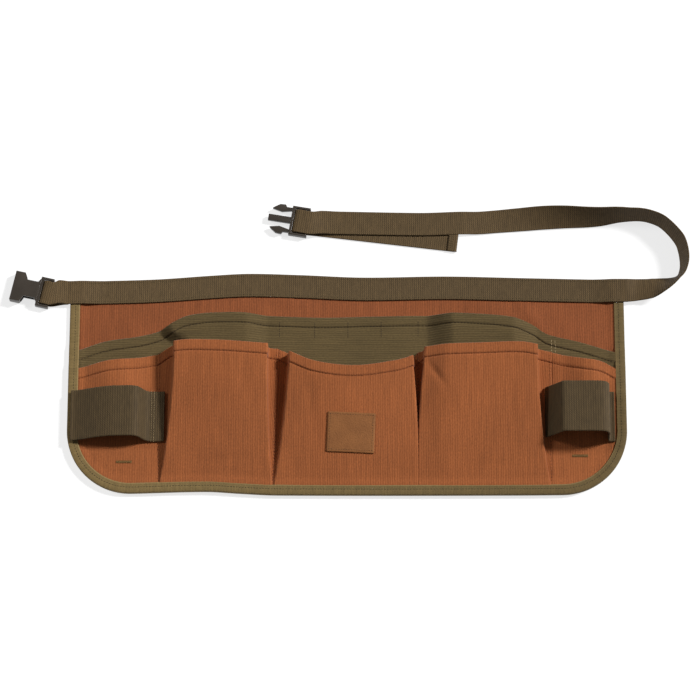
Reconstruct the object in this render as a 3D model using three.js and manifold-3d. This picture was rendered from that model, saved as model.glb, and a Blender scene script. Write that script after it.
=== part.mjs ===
// A carpenter's nail apron lying open on a table, seen from its front.
// Millimetres. +X is to the right along the belt, +Y towards the waistband, +Z up off the table.
// The origin is the middle of the body, on the underside of the back panel.
import * as THREE from 'three';
import { mergeVertices } from 'three/addons/utils/BufferGeometryUtils.js';
import Module from 'manifold-3d';

const wasm = await Module();
wasm.setup();

// Driving dimensions of the body
const HALF_WIDTH = 291.5;
const HALF_HEIGHT = 118.5;
const CORNER_RADIUS = 68;
const CANVAS = 1.0;
const GAP = 0.3;

// The tape folded round the edge
const TAPE = 1.0;
const TAPE_WIDTH = 10.5;
const TAPE_EASE = 8;

// The belt webbing and the wide webbing of the hammer loops
const WEBBING = 1.6;
const BELT_WIDTH = 25.4;
const LOOP_WIDTH = 54;
const LOOP_WEBBING = 1.8;

// Heights to which the pockets stand open, and the pleats at their sides
const POUCH_HEIGHT = 19;
const PLEAT_DEPTH = 16;
const SIDE_POCKET_PUFF = 7;
const INNER_POCKET_PUFF = 6.5;

// Rise of each hammer loop over what it is sewn to
const LEFT_LOOP_RISE = 16;
const RIGHT_LOOP_RISE = 26;
const LEFT_LOOP_SKEW = 2.7;
const RIGHT_LOOP_SKEW = 5;
// The pouches stand a little further apart at their seams, where their ends tilt
const SEAM_GAP = 0.5;
const LOOP_LEVEL = -0.295;
// How far each loop's inner end reaches over the nearest seam
const LEFT_LOOP_INSET = 3.5;
const LEFT_LOOP_REACH = 7.5;
const RIGHT_LOOP_REACH = 6.5;

// The strap's free run beyond the body
const BEND_REACH = 61;
const STRAP_RISE = 48;
const STRAP_RUN = 352;
const TAIL_LENGTH = 166;
const TAIL_ANGLE = -6.9;

// The buckle halves
const BUCKLE_THICK = 9;
const BUCKLE_WALL = 1.9;
const MOUTH_LENGTH = 12;
const NECK_LENGTH = 15.5;
const NECK_WIDTH = 18;
const FRAME_WALL = 2.2;
const SLOT = 5.2;
const BAR = 5.6;
const BAR_THICK = 3.3;
const BUCKLE_PLAY = 1.2;
const PRONG_LENGTH = 24;
const PRONG_WIDTH = 6.8;
const ARM_WIDTH = 3;
const BUCKLE_ANGLE = -12.5;
const PLUG_ANGLE = -9.5;
const PLUG_INSET = 11.5;
const PLUG_LEVEL = 1.064;

// The label patch
const LABEL_WIDTH = 49;
const LABEL_HEIGHT = 41;
const LABEL_THICK = 1.2;
const LABEL_ANGLE = -2.5;
const LABEL_PLACE = { x: 0.0144, y: -0.456 };

// Tables hold shares of the half width along x and of the half height along y
const TOP_LINE = [
  { x: -1.0, y: 0.856 },
  { x: -0.7, y: 0.876 },
  { x: -0.487, y: 0.913 },
  { x: -0.357, y: 0.93 },
  { x: -0.168, y: 0.918 },
  { x: 0.055, y: 0.895 },
  { x: 0.36, y: 0.905 },
  { x: 0.638, y: 0.89 },
  { x: 0.906, y: 0.876 },
  { x: 1.0, y: 0.876 },
];
const BOTTOM_LINE = [
  { x: -1.0, y: -0.99 },
  { x: -0.78, y: -0.985 },
  { x: -0.5, y: -0.968 },
  { x: -0.38, y: -0.985 },
  { x: -0.25, y: -1.0 },
  { x: 0.6, y: -1.0 },
  { x: 1.0, y: -0.99 },
];
const INNER_TOP = [
  { x: -1.0, y: 0.283 },
  { x: -0.875, y: 0.398 },
  { x: -0.75, y: 0.447 },
  { x: -0.67, y: 0.5 },
  { x: -0.573, y: 0.618 },
  { x: -0.43, y: 0.652 },
  { x: -0.274, y: 0.637 },
  { x: -0.083, y: 0.622 },
  { x: 0.1, y: 0.633 },
  { x: 0.285, y: 0.638 },
  { x: 0.51, y: 0.615 },
  { x: 0.605, y: 0.587 },
  { x: 0.674, y: 0.543 },
  { x: 0.72, y: 0.47 },
  { x: 0.843, y: 0.392 },
  { x: 1.0, y: 0.27 },
];
const SEAMS = [
  { bottom: -0.672, top: -0.682 },
  { bottom: -0.265, top: -0.247 },
  { bottom: 0.252, top: 0.2555 },
  { bottom: 0.7276, top: 0.737 },
];
const INNER_POCKETS = [
  { from: -0.64, to: -0.27 },
  { from: 0.285, to: 0.705 },
];

// Usual level of a pocket's mouth, where the seams end
const MOUTH_LEVEL = 0.3;

// Each section of the front layer: its mouth as a curve over the share from seam to seam
const LEFT_SIDE = {
  mouth: [{ u: 0, y: 0.13 }, { u: 0.4, y: 0.203 }, { u: 0.72, y: 0.236 }, { u: 1, y: 0.274 }],
};
const RIGHT_SIDE = {
  mouth: [{ u: 0, y: 0.296 }, { u: 0.42, y: 0.23 }, { u: 0.72, y: 0.196 }, { u: 1, y: 0.095 }],
};
const POUCHES = [
  {
    name: 'left_pouch', seam: 0, height: 1, leftPleat: 1.06, rightPleat: 0.66, crown: 0.05, drop: 0,
    mouth: [{ u: 0, y: 0.274 }, { u: 0.13, y: 0.356 }, { u: 0.45, y: 0.367 },
      { u: 0.9, y: 0.338 }, { u: 1, y: 0.33 }],
  },
  {
    name: 'centre_pouch', seam: 1, height: 0.74, leftPleat: 0.69, rightPleat: 0.36, crown: 0.16, drop: 0.14,
    mouth: [{ u: 0, y: 0.33 }, { u: 0.075, y: 0.29 }, { u: 0.27, y: 0.184 }, { u: 0.55, y: 0.14 },
      { u: 0.83, y: 0.187 }, { u: 0.955, y: 0.237 }, { u: 1, y: 0.292 }],
  },
  {
    name: 'right_pouch', seam: 2, height: 1, leftPleat: 0.44, rightPleat: 0.95, crown: 0.05, drop: 0.3,
    mouth: [{ u: 0, y: 0.292 }, { u: 0.07, y: 0.32 }, { u: 0.5, y: 0.341 }, { u: 0.77, y: 0.35 },
      { u: 0.9, y: 0.325 }, { u: 1, y: 0.3 }],
  },
];
// How a pouch opens from its bottom seam, v = 0, to its mouth, v = 1
const POUCH_SECTIONS = [
  { v: 0, rise: 0, pleat: 0.05 },
  { v: 0.08, rise: 0.024, pleat: 0.1 },
  { v: 0.2, rise: 0.15, pleat: 0.3 },
  { v: 0.4, rise: 0.44, pleat: 0.59 },
  { v: 0.7, rise: 0.81, pleat: 0.855 },
  { v: 0.9, rise: 0.97, pleat: 0.97 },
  { v: 1, rise: 1, pleat: 1 },
];
// The fold of a pleat, from the seam up to the edge of the pouch's face
const PLEAT_FOLD = [
  { out: 0, up: 0 },
  { out: 0.5, up: 0.035 },
  { out: 0.88, up: 0.16 },
  { out: 1.03, up: 0.42 },
  { out: 1.09, up: 0.76 },
  { out: 1.12, up: 1 },
];
// The share of a face over which its lower left side comes up
const SHOULDER = 0.22;
// The hammer loops seen from the pockets' mouths: along is the share of the span, up of the rise
const LEFT_LOOP = [
  { along: 0, up: 0.14 },
  { along: 0.05, up: 0.15 },
  { along: 0.14, up: 0.34 },
  { along: 0.28, up: 0.7 },
  { along: 0.42, up: 0.94 },
  { along: 0.56, up: 1 },
  { along: 0.66, up: 0.86 },
  { along: 0.72, up: 0.5 },
  { along: 0.77, up: 0.16 },
  { along: 0.82, up: 0.08 },
  { along: 0.88, up: 0.06 },
  { along: 0.94, up: 0.06 },
  { along: 1, up: 0.1 },
];
const RIGHT_LOOP = [
  { along: 0, up: 0.03 },
  { along: 0.012, up: 0.07 },
  { along: 0.06, up: 0.24 },
  { along: 0.2, up: 0.88 },
  { along: 0.23, up: 0.97 },
  { along: 0.27, up: 1 },
  { along: 0.42, up: 1 },
  { along: 0.62, up: 1 },
  { along: 0.82, up: 0.95 },
  { along: 0.889, up: 0.78 },
  { along: 0.897, up: 0.4 },
  { along: 0.902, up: 0.07 },
  { along: 0.937, up: 0 },
  { along: 1, up: 0 },
];
// The strap's resting edge through the bend: out and up are shares of its reach and rise, roll degrees
const BEND = [
  { out: 0.25, up: 0.02, roll: 10 },
  { out: 0.5, up: 0.03, roll: 21 },
  { out: 0.72, up: 0.035, roll: 46 },
  { out: 0.83, up: 0.045, roll: 60 },
  { out: 0.91, up: 0.065, roll: 72 },
  { out: 0.953, up: 0.1, roll: 76 },
  { out: 0.98, up: 0.175, roll: 76 },
  { out: 1.0, up: 0.3, roll: 75 },
  { out: 1.0, up: 0.45, roll: 74 },
  { out: 0.977, up: 0.656, roll: 74 },
  { out: 0.936, up: 0.825, roll: 75 },
  { out: 0.8, up: 1.067, roll: 77 },
  { out: 0.644, up: 1.25, roll: 78 },
  { out: 0.454, up: 1.35, roll: 78 },
  { out: 0.3, up: 1.381, roll: 77 },
  { out: 0.144, up: 1.375, roll: 75 },
];
// The upper run back to the plug buckle: along is a share of the run, up of the strap's rise,
// lift of the tail and a gap under the strap
const RETURN_RUN = [
  { along: 0.011, up: 1.342, roll: 68, lift: 0 },
  { along: 0.0585, up: 1.265, roll: 57, lift: 0 },
  { along: 0.104, up: 1.227, roll: 49, lift: 0 },
  { along: 0.172, up: 1.204, roll: 36, lift: 0 },
  { along: 0.237, up: 1.171, roll: 20, lift: 0 },
  { along: 0.3, up: 1.135, roll: 7, lift: 0 },
  { along: 0.372, up: 1.097, roll: 0, lift: 0 },
  { along: 0.431, up: 1.06, roll: 0, lift: 0.3 },
  { along: 0.485, up: 1.05, roll: 0, lift: 1 },
  { along: 0.587, up: 1.022, roll: 0, lift: 1 },
  { along: 0.67, up: 1.026, roll: 0, lift: 1 },
  { along: 0.795, up: 1.044, roll: 0, lift: 1 },
  { along: 0.86, up: 1.052, roll: 0, lift: 1.2 },
  { along: 0.905, up: 1.057, roll: 0, lift: 2 },
];

const TURN = Math.PI / 180;
const DUCK = new THREE.MeshStandardMaterial({ color: 0x96582f, roughness: 0.9, metalness: 0 });
const LINING = new THREE.MeshStandardMaterial({ color: 0x5d4d33, roughness: 0.9, metalness: 0 });
const STRAP = new THREE.MeshStandardMaterial({ color: 0x584a34, roughness: 0.8, metalness: 0 });
const TRIM = new THREE.MeshStandardMaterial({ color: 0x6f5f40, roughness: 0.85, metalness: 0 });
const PLASTIC = new THREE.MeshStandardMaterial({ color: 0x403834, roughness: 0.4, metalness: 0 });
const PATCH = new THREE.MeshStandardMaterial({ color: 0x7a4a26, roughness: 0.7, metalness: 0 });

const apron = new THREE.Group();

function add(name, geometry, material) {
  const mesh = new THREE.Mesh(geometry, material);
  mesh.name = name;
  apron.add(mesh);
  return mesh;
}

// A smooth curve through the rows of a table, read at one value of its first column
function curve(table, column, value, at) {
  let i = 0;
  while (i < table.length - 2 && at > table[i + 1][column]) i += 1;
  const slope = (k) => {
    const a = table[Math.max(k - 1, 0)];
    const b = table[Math.min(k + 1, table.length - 1)];
    return (b[value] - a[value]) / (b[column] - a[column]);
  };
  const low = table[i];
  const high = table[i + 1];
  const span = high[column] - low[column];
  const t = THREE.MathUtils.clamp((at - low[column]) / span, 0, 1);
  const t2 = t * t;
  const t3 = t2 * t;
  return (2 * t3 - 3 * t2 + 1) * low[value] + (t3 - 2 * t2 + t) * span * slope(i)
    + (3 * t2 - 2 * t3) * high[value] + (t3 - t2) * span * slope(i + 1);
}

function smooth(t) {
  const s = THREE.MathUtils.clamp(t, 0, 1);
  return s * s * (3 - 2 * s);
}

// Outline of the body, drawn in by an inset
const INSET = TAPE + GAP;
const lineAt = (table, x) => HALF_HEIGHT * curve(table, 'x', 'y', x / HALF_WIDTH);
const beltCentre = (x) => lineAt(TOP_LINE, x);
const panelTop = (x) => beltCentre(x) + BELT_WIDTH * 0.37;
const innerTop = (x) => lineAt(INNER_TOP, x);
const seamAt = (i, y) => {
  const t = (y / HALF_HEIGHT + 1) / (1 + MOUTH_LEVEL);
  return HALF_WIDTH * THREE.MathUtils.lerp(SEAMS[i].bottom, SEAMS[i].top, t);
};

function bottomAt(x, inset) {
  const radius = CORNER_RADIUS - inset;
  const into = Math.abs(x) - (HALF_WIDTH - CORNER_RADIUS);
  const base = lineAt(BOTTOM_LINE, x) + inset;
  if (into <= 0) return base;
  return base + radius - Math.sqrt(Math.max(radius * radius - into * into, 0));
}

// How far a point lies inside the outer edge
function edgeDistance(x, y) {
  const across = Math.abs(x) - (HALF_WIDTH - CORNER_RADIUS);
  const down = lineAt(BOTTOM_LINE, x) + CORNER_RADIUS - y;
  if (across > 0 && down > 0) return CORNER_RADIUS - Math.hypot(across, down);
  return CORNER_RADIUS - Math.max(across, down);
}

// Underside of layer 0, 1, 2 or 3: the body rises over the tape's back leg near its edge
function layer(number, x, y) {
  const over = (edgeDistance(x, y) - TAPE_WIDTH) / TAPE_EASE;
  return INSET * (1 - smooth(over)) + number * (CANVAS + GAP);
}

// Distances from an edge at which every layer has a row or a column of points
const EDGE_STEPS = [0, TAPE_WIDTH + 0.5, TAPE_WIDTH + TAPE_EASE / 2, TAPE_WIDTH + TAPE_EASE,
  CORNER_RADIUS * 0.48, CORNER_RADIUS * 0.74, CORNER_RADIUS];

function columns(from, to, count) {
  const edge = HALF_WIDTH - INSET;
  const list = [];
  for (const step of EDGE_STEPS) list.push(-edge + step, edge - step);
  const inner = edge - CORNER_RADIUS;
  for (let i = 1; i < count; i += 1) list.push(-inner + (2 * inner * i) / count);
  const kept = list.filter((x) => x > from + 2 && x < to - 2);
  return [from, ...kept.sort((a, b) => a - b), to];
}

function rowsUp(depth, count) {
  const list = EDGE_STEPS.filter((step) => step < depth - 6);
  const last = list[list.length - 1];
  for (let i = 1; i <= count; i += 1) list.push(last + ((depth - last) * i) / count);
  return list;
}

// A closed sheet: rows of points on its underside, thickened upwards along its own normals
function sheet(rows, thickness) {
  const height = rows.length;
  const width = rows[0].length;
  const points = [];
  for (let j = 0; j < height; j += 1) {
    for (let i = 0; i < width; i += 1) {
      const along = rows[j][Math.min(i + 1, width - 1)].clone().sub(rows[j][Math.max(i - 1, 0)]);
      const up = rows[Math.min(j + 1, height - 1)][i].clone().sub(rows[Math.max(j - 1, 0)][i]);
      const normal = along.cross(up).normalize();
      points.push(rows[j][i], rows[j][i].clone().addScaledVector(normal, thickness));
    }
  }
  const under = (i, j) => 2 * (j * width + i);
  const over = (i, j) => under(i, j) + 1;
  const faces = [];
  const quad = (a, b, c, d) => faces.push(a, b, c, a, c, d);
  for (let j = 0; j < height - 1; j += 1) {
    for (let i = 0; i < width - 1; i += 1) {
      quad(over(i, j), over(i + 1, j), over(i + 1, j + 1), over(i, j + 1));
      quad(under(i, j), under(i, j + 1), under(i + 1, j + 1), under(i + 1, j));
    }
  }
  for (let i = 0; i < width - 1; i += 1) {
    quad(under(i, 0), under(i + 1, 0), over(i + 1, 0), over(i, 0));
    quad(under(i + 1, height - 1), under(i, height - 1), over(i, height - 1), over(i + 1, height - 1));
  }
  for (let j = 0; j < height - 1; j += 1) {
    quad(under(0, j + 1), under(0, j), over(0, j), over(0, j + 1));
    quad(under(width - 1, j), under(width - 1, j + 1), over(width - 1, j + 1), over(width - 1, j));
  }
  return solid(points, faces);
}

function solid(points, faces) {
  const geometry = new THREE.BufferGeometry();
  geometry.setAttribute('position', new THREE.Float32BufferAttribute(points.flatMap((p) => p.toArray()), 3));
  geometry.setIndex(faces);
  return geometry;
}

// A closed bar swept through sections of equally many corners
function sweep(sections) {
  const sides = sections[0].length;
  const points = sections.flat();
  const faces = [];
  for (let k = 0; k < sections.length - 1; k += 1) {
    for (let i = 0; i < sides; i += 1) {
      const a = k * sides + i;
      const b = k * sides + ((i + 1) % sides);
      faces.push(a, b, b + sides, a, b + sides, a + sides);
    }
  }
  const last = (sections.length - 1) * sides;
  const cap = THREE.ShapeUtils.triangulateShape(flatten(sections[0]), []);
  for (const [a, b, c] of cap) {
    faces.push(a, c, b);
    faces.push(last + a, last + b, last + c);
  }
  return solid(points, faces);
}

// A section's corners in its own plane, counterclockwise as its sweep needs them
function flatten(section) {
  const origin = section[0];
  const right = section[1].clone().sub(origin).normalize();
  const away = section[section.length - 1].clone().sub(origin);
  const normal = right.clone().cross(away).normalize();
  const up = normal.cross(right);
  return section.map((p) => {
    const d = p.clone().sub(origin);
    return new THREE.Vector2(d.dot(right), d.dot(up));
  });
}

// Webbing: stations with a centre, the direction of its width and, where it is rolled, its normal
function ribbon(stations, width, thickness) {
  const sections = stations.map((station, k) => {
    const before = stations[Math.max(k - 1, 0)].centre;
    const after = stations[Math.min(k + 1, stations.length - 1)].centre;
    const side = station.side;
    const normal = station.normal ?? after.clone().sub(before).cross(side).normalize();
    const corner = (s, n) => station.centre.clone()
      .addScaledVector(side, (s * width) / 2)
      .addScaledVector(normal, (n * thickness) / 2);
    return [corner(-1, -1), corner(1, -1), corner(1, 1), corner(-1, 1)];
  });
  return sweep(sections);
}

// Rows of x and y from the bottom edge up to a top line; short corner columns draw their rows together
function grid(across, topAt, count) {
  const deep = across.map((x) => rowsUp(topAt(x) - bottomAt(x, INSET), count));
  const most = Math.max(...deep.map((list) => list.length));
  return Array.from({ length: most }, (unused, j) => across.map((x, i) => {
    const rows = deep[i];
    const place = (j * (rows.length - 1)) / (most - 1);
    const low = Math.min(Math.floor(place), rows.length - 2);
    return { x, y: bottomAt(x, INSET) + THREE.MathUtils.lerp(rows[low], rows[low + 1], place - low) };
  }));
}

const PANEL_EDGE = HALF_WIDTH - INSET;

function backPanel() {
  const across = columns(-PANEL_EDGE, PANEL_EDGE, 11);
  const rows = grid(across, panelTop, 3).map((row) => row
    .map(({ x, y }) => new THREE.Vector3(x, y, layer(0, x, y))));
  add('back_panel', sheet(rows, CANVAS), DUCK);
}

// How far the inner panel stands off the back panel inside its two wide pockets
function innerPuff(x, y) {
  let puff = 0;
  for (const pocket of INNER_POCKETS) {
    const u = (x / HALF_WIDTH - pocket.from) / (pocket.to - pocket.from);
    if (u > 0 && u < 1) {
      const across = smooth(Math.min(u, 1 - u) * 4.4);
      const up = smooth((y / HALF_HEIGHT + 0.3) / (0.3 + 0.55));
      puff = INNER_POCKET_PUFF * across * up;
    }
  }
  return puff;
}

function innerPanel() {
  const across = columns(-PANEL_EDGE, PANEL_EDGE, 24);
  const rows = grid(across, innerTop, 5).map((row) => row
    .map(({ x, y }) => new THREE.Vector3(x, y, layer(1, x, y) + innerPuff(x, y))));
  add('inner_pocket_panel', sheet(rows, CANVAS), LINING);
}

// The left and right edges of the two flat end sections of the front layer
const LEFT_SIDE_EDGES = [() => -PANEL_EDGE, (y) => seamAt(0, y) - GAP / 2];
const RIGHT_SIDE_EDGES = [(y) => seamAt(3, y) + GAP / 2, () => PANEL_EDGE];

function sideShare(section, x) {
  const [leftOf, rightOf] = section === LEFT_SIDE ? LEFT_SIDE_EDGES : RIGHT_SIDE_EDGES;
  return (x - leftOf(0)) / (rightOf(0) - leftOf(0));
}

function sideMouth(section, x) {
  return HALF_HEIGHT * curve(section.mouth, 'u', 'y', sideShare(section, x));
}

// A flat end section, its mouth standing a little open
function sidePocket(name, section) {
  const [leftOf, rightOf] = section === LEFT_SIDE ? LEFT_SIDE_EDGES : RIGHT_SIDE_EDGES;
  const across = columns(leftOf(0), rightOf(0), 22);
  const last = across.length - 1;
  const rows = grid(across, (x) => sideMouth(section, x), 5).map((row) => row.map(({ x, y }, i) => {
    const u = sideShare(section, x);
    const bottom = bottomAt(x, INSET);
    const v = (y - bottom) / (sideMouth(section, x) - bottom);
    const seam = (i === 0 ? leftOf(y) - leftOf(0) : 0) + (i === last ? rightOf(y) - rightOf(0) : 0);
    const puff = SIDE_POCKET_PUFF * smooth(Math.min(u, 1 - u) * 2.6 - 0.25) * smooth((v - 0.3) / 0.6);
    return new THREE.Vector3(x + seam, y, layer(2, x + seam, y) + puff);
  }));
  add(name, sheet(rows, CANVAS), DUCK);
}

function pouchHeight(pouch, v) {
  return POUCH_HEIGHT * pouch.height * curve(POUCH_SECTIONS, 'v', 'rise', v);
}

// Height of a pouch's face over its seam at a share s across the face
function faceRise(pouch, v, s) {
  const side = pouch.drop * (1 - smooth(s / SHOULDER));
  return pouchHeight(pouch, v) * (1 + pouch.crown * 4 * s * (1 - s) - side);
}

const FACE_STEPS = 8;

function pouchBox(pouch, v, y) {
  const left = seamAt(pouch.seam, y) + SEAM_GAP / 2;
  const right = seamAt(pouch.seam + 1, y) - SEAM_GAP / 2;
  const pleat = PLEAT_DEPTH * curve(POUCH_SECTIONS, 'v', 'pleat', v);
  return { left, right, inLeft: pleat * pouch.leftPleat, inRight: pleat * pouch.rightPleat };
}

// The face of a pouch runs between the last folds of its two pleats
function faceSpan(box) {
  const { out } = PLEAT_FOLD[PLEAT_FOLD.length - 1];
  return { start: box.left + out * box.inLeft, end: box.right - out * box.inRight };
}

// Points of a pouch from its left seam, up its pleat, over its face and down to its right seam
function pouchRow(pouch, v, y) {
  const box = pouchBox(pouch, v, y);
  const high = pouchHeight(pouch, v);
  const row = [];
  for (const fold of PLEAT_FOLD) {
    row.push({ x: box.left + fold.out * box.inLeft, z: fold.up * high * (1 - pouch.drop) });
  }
  const { start, end } = faceSpan(box);
  for (let k = 1; k < FACE_STEPS; k += 1) {
    const s = k / FACE_STEPS;
    row.push({ x: THREE.MathUtils.lerp(start, end, s), z: faceRise(pouch, v, s) });
  }
  for (const fold of [...PLEAT_FOLD].reverse()) {
    row.push({ x: box.right - fold.out * box.inRight, z: fold.up * high });
  }
  return row;
}

function pouchMouth(pouch, x) {
  const left = seamAt(pouch.seam, 0);
  const right = seamAt(pouch.seam + 1, 0);
  return HALF_HEIGHT * curve(pouch.mouth, 'u', 'y', (x - left) / (right - left));
}

function pouchPiece(pouch) {
  const depth = HALF_HEIGHT * (1 + MOUTH_LEVEL);
  const shares = rowsUp(depth, 6).map((d) => d / depth);
  const top = pouchRow(pouch, 1, HALF_HEIGHT * MOUTH_LEVEL);
  const rows = shares.map((v) => {
    const middle = HALF_HEIGHT * THREE.MathUtils.lerp(-1, MOUTH_LEVEL, v);
    return pouchRow(pouch, v, middle).map((point, i) => {
      const bottom = bottomAt(point.x, INSET);
      const y = THREE.MathUtils.lerp(bottom, pouchMouth(pouch, top[i].x), v);
      return new THREE.Vector3(point.x, y, layer(2, point.x, y) + point.z);
    });
  });
  add(pouch.name, sheet(rows, CANVAS), DUCK);
}

// The outer face of a pouch over one point of its face
function pouchFace(pouch, x, y) {
  const bottom = bottomAt(x, INSET);
  const v = (y - bottom) / (pouchMouth(pouch, x) - bottom);
  const { start, end } = faceSpan(pouchBox(pouch, v, y));
  const s = (x - start) / (end - start);
  return layer(2, x, y) + faceRise(pouch, v, s) + CANVAS;
}

function labelPatch() {
  const pouch = POUCHES[1];
  const turn = LABEL_ANGLE * TURN;
  const centre = new THREE.Vector2(LABEL_PLACE.x * HALF_WIDTH, LABEL_PLACE.y * HALF_HEIGHT);
  const rows = [];
  for (const t of [-0.5, -0.25, 0, 0.25, 0.5]) {
    rows.push([-0.5, -0.25, 0, 0.25, 0.5].map((s) => {
      const spot = new THREE.Vector2(s * LABEL_WIDTH, t * LABEL_HEIGHT)
        .rotateAround(new THREE.Vector2(), turn).add(centre);
      return new THREE.Vector3(spot.x, spot.y, pouchFace(pouch, spot.x, spot.y) + GAP);
    }));
  }
  add('label_patch', sheet(rows, LABEL_THICK), PATCH);
}

// The tape round the edge: a channel whose front leg follows the layers under it
function stackTop(x, y) {
  const inside = Math.sign(x) * (HALF_WIDTH - TAPE_WIDTH - GAP);
  const fall = (edge) => 1 - smooth((y - edge - 1) / TAPE_EASE);
  const front = x < 0 ? sideMouth(LEFT_SIDE, inside) : sideMouth(RIGHT_SIDE, inside);
  const count = 1 + fall(front) + fall(innerTop(inside));
  return INSET + count * (CANVAS + GAP) + TAPE;
}

const CORNER_STEPS = 14;

function edgeBinding() {
  const path = [];
  const straight = HALF_WIDTH - CORNER_RADIUS;
  const top = panelTop(HALF_WIDTH);
  const sideTop = (x) => lineAt(BOTTOM_LINE, x) + CORNER_RADIUS;
  const sideShares = [1, 0.72, 0.66, 0.6, 0.55, 0.5, 0.45, 0.4, 0.3, 0.15, 0];
  for (const t of sideShares) {
    path.push({ x: -HALF_WIDTH, y: THREE.MathUtils.lerp(sideTop(-HALF_WIDTH), top, t), inX: 1, inY: 0 });
  }
  const corner = (side, from, to) => {
    for (let k = 1; k < CORNER_STEPS; k += 1) {
      const a = THREE.MathUtils.lerp(from, to, k / CORNER_STEPS) * TURN;
      const x = side * (straight + CORNER_RADIUS * Math.cos(a));
      const y = lineAt(BOTTOM_LINE, x) + CORNER_RADIUS * (1 - Math.sin(a));
      path.push({ x, y, inX: -side * Math.cos(a), inY: Math.sin(a) });
    }
  };
  corner(-1, 0, 90);
  for (let k = 0; k <= 22; k += 1) {
    const x = -straight + (2 * straight * k) / 22;
    path.push({ x, y: lineAt(BOTTOM_LINE, x), inX: 0, inY: 1 });
  }
  corner(1, 90, 0);
  for (const t of [...sideShares].reverse()) {
    path.push({ x: HALF_WIDTH, y: THREE.MathUtils.lerp(sideTop(HALF_WIDTH), top, t), inX: -1, inY: 0 });
  }
  const sections = path.map((p) => {
    const high = stackTop(p.x, p.y);
    const at = (depth, z) => new THREE.Vector3(p.x + p.inX * depth, p.y + p.inY * depth, z);
    return [at(0, 0), at(TAPE_WIDTH, 0), at(TAPE_WIDTH, TAPE), at(TAPE, TAPE),
      at(TAPE, high - TAPE), at(TAPE_WIDTH, high - TAPE), at(TAPE_WIDTH, high), at(0, high)];
  });
  add('edge_binding', sweep(sections), TRIM);
}

// Inner edge of the tape at the right side, where the corner may already draw it in
function tapeInner(y) {
  const down = Math.max(lineAt(BOTTOM_LINE, HALF_WIDTH) + CORNER_RADIUS - y, 0);
  return HALF_WIDTH - CORNER_RADIUS + Math.sqrt((CORNER_RADIUS - TAPE_WIDTH) ** 2 - down ** 2);
}

const LOOP_MIDDLE = LOOP_LEVEL * HALF_HEIGHT;

function hammerLoop(name, table, from, to, foot, rise, skew) {
  const stations = table.map((row) => {
    const x = THREE.MathUtils.lerp(from, to, row.along);
    const base = foot(row.along) + LOOP_WEBBING / 2;
    return {
      centre: new THREE.Vector3(x, LOOP_MIDDLE + row.up * skew, base + row.up * rise),
      side: new THREE.Vector3(0, -1, 0),
    };
  });
  add(name, ribbon(stations, LOOP_WIDTH, LOOP_WEBBING), STRAP);
}

// Buckle frames: the middle of the bar that the webbing turns round, and its direction
const SOCKET_AT = { x: -HALF_WIDTH - 23, y: beltCentre(-HALF_WIDTH) - 1, angle: BUCKLE_ANGLE };
const STRAP_EDGE = beltCentre(HALF_WIDTH) + BELT_WIDTH / 2;
const RETURN_START = HALF_WIDTH;
const PLUG_AT = {
  x: RETURN_START - STRAP_RUN + PLUG_INSET,
  y: STRAP_EDGE + STRAP_RISE * PLUG_LEVEL + BELT_WIDTH / 2,
  angle: PLUG_ANGLE,
};
const UNDER = WEBBING / 2;
const BAR_LOW = WEBBING + 0.7;
const OVER = BAR_LOW + BAR_THICK + 0.4 + WEBBING / 2;

// The turn round a buckle's bar, from under it to over it, as seen along the bar
function turnRound(frame, from, steps) {
  const angle = frame.angle * TURN;
  const side = new THREE.Vector3(Math.sin(angle), -Math.cos(angle), 0);
  const along = new THREE.Vector3(Math.cos(angle), Math.sin(angle), 0);
  const radius = (OVER - UNDER) / 2;
  const place = (s, z) => ({
    centre: new THREE.Vector3(frame.x, frame.y, z).addScaledVector(along, s),
    side: side.clone(),
  });
  const list = [place(BAR / 2 + 2, UNDER)];
  for (let k = 0; k <= steps; k += 1) {
    const a = (Math.PI * k) / steps;
    list.push(place(-BAR / 2 + 0.8 - radius * Math.sin(a), UNDER + radius * (1 - Math.cos(a))));
  }
  list.push(place(from, OVER));
  return list;
}

function beltPiece() {
  const stations = [];
  const side = new THREE.Vector3(0, -1, 0);
  const flat = (x, y, z) => stations.push({ centre: new THREE.Vector3(x, y, z), side: side.clone() });
  const seat = INSET + CANVAS + GAP;
  const bindingSeat = seat + TAPE + GAP;
  const overBinding = bindingSeat + UNDER;
  const endX = -HALF_WIDTH - 2;
  flat(endX, beltCentre(endX), overBinding - WEBBING - GAP);
  flat(endX - 6, beltCentre(endX) - 0.3, overBinding - WEBBING - GAP - 0.5);
  stations.push(...turnRound(SOCKET_AT, BAR / 2 + 0.5, 6));
  flat(-HALF_WIDTH - 12, beltCentre(-HALF_WIDTH) - 0.5, overBinding + 1.2);
  flat(-HALF_WIDTH - 3, beltCentre(-HALF_WIDTH), overBinding);
  const overTape = HALF_WIDTH - TAPE_WIDTH - 1.5;
  const steps = 26;
  flat(-HALF_WIDTH + 2, beltCentre(-HALF_WIDTH), overBinding);
  for (let k = 0; k <= steps; k += 1) {
    const x = THREE.MathUtils.lerp(-overTape, overTape, k / steps);
    const inside = (overTape - Math.abs(x)) / (TAPE_EASE * 2.5);
    const z = THREE.MathUtils.lerp(overBinding, seat - INSET + UNDER, smooth(inside));
    flat(x, beltCentre(x), z);
  }
  flat(HALF_WIDTH - 2, beltCentre(HALF_WIDTH), overBinding);
  flat(HALF_WIDTH + 3, beltCentre(HALF_WIDTH), overBinding);
  stations.push(...strapStations());
  stations.push(...turnRound(PLUG_AT, BAR * 1.9, 6).reverse().map((s) => {
    s.side.negate();
    return s;
  }));
  stations.push(...tailStations());
  add('belt', ribbon(stations, BELT_WIDTH, WEBBING), STRAP);
}

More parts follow.
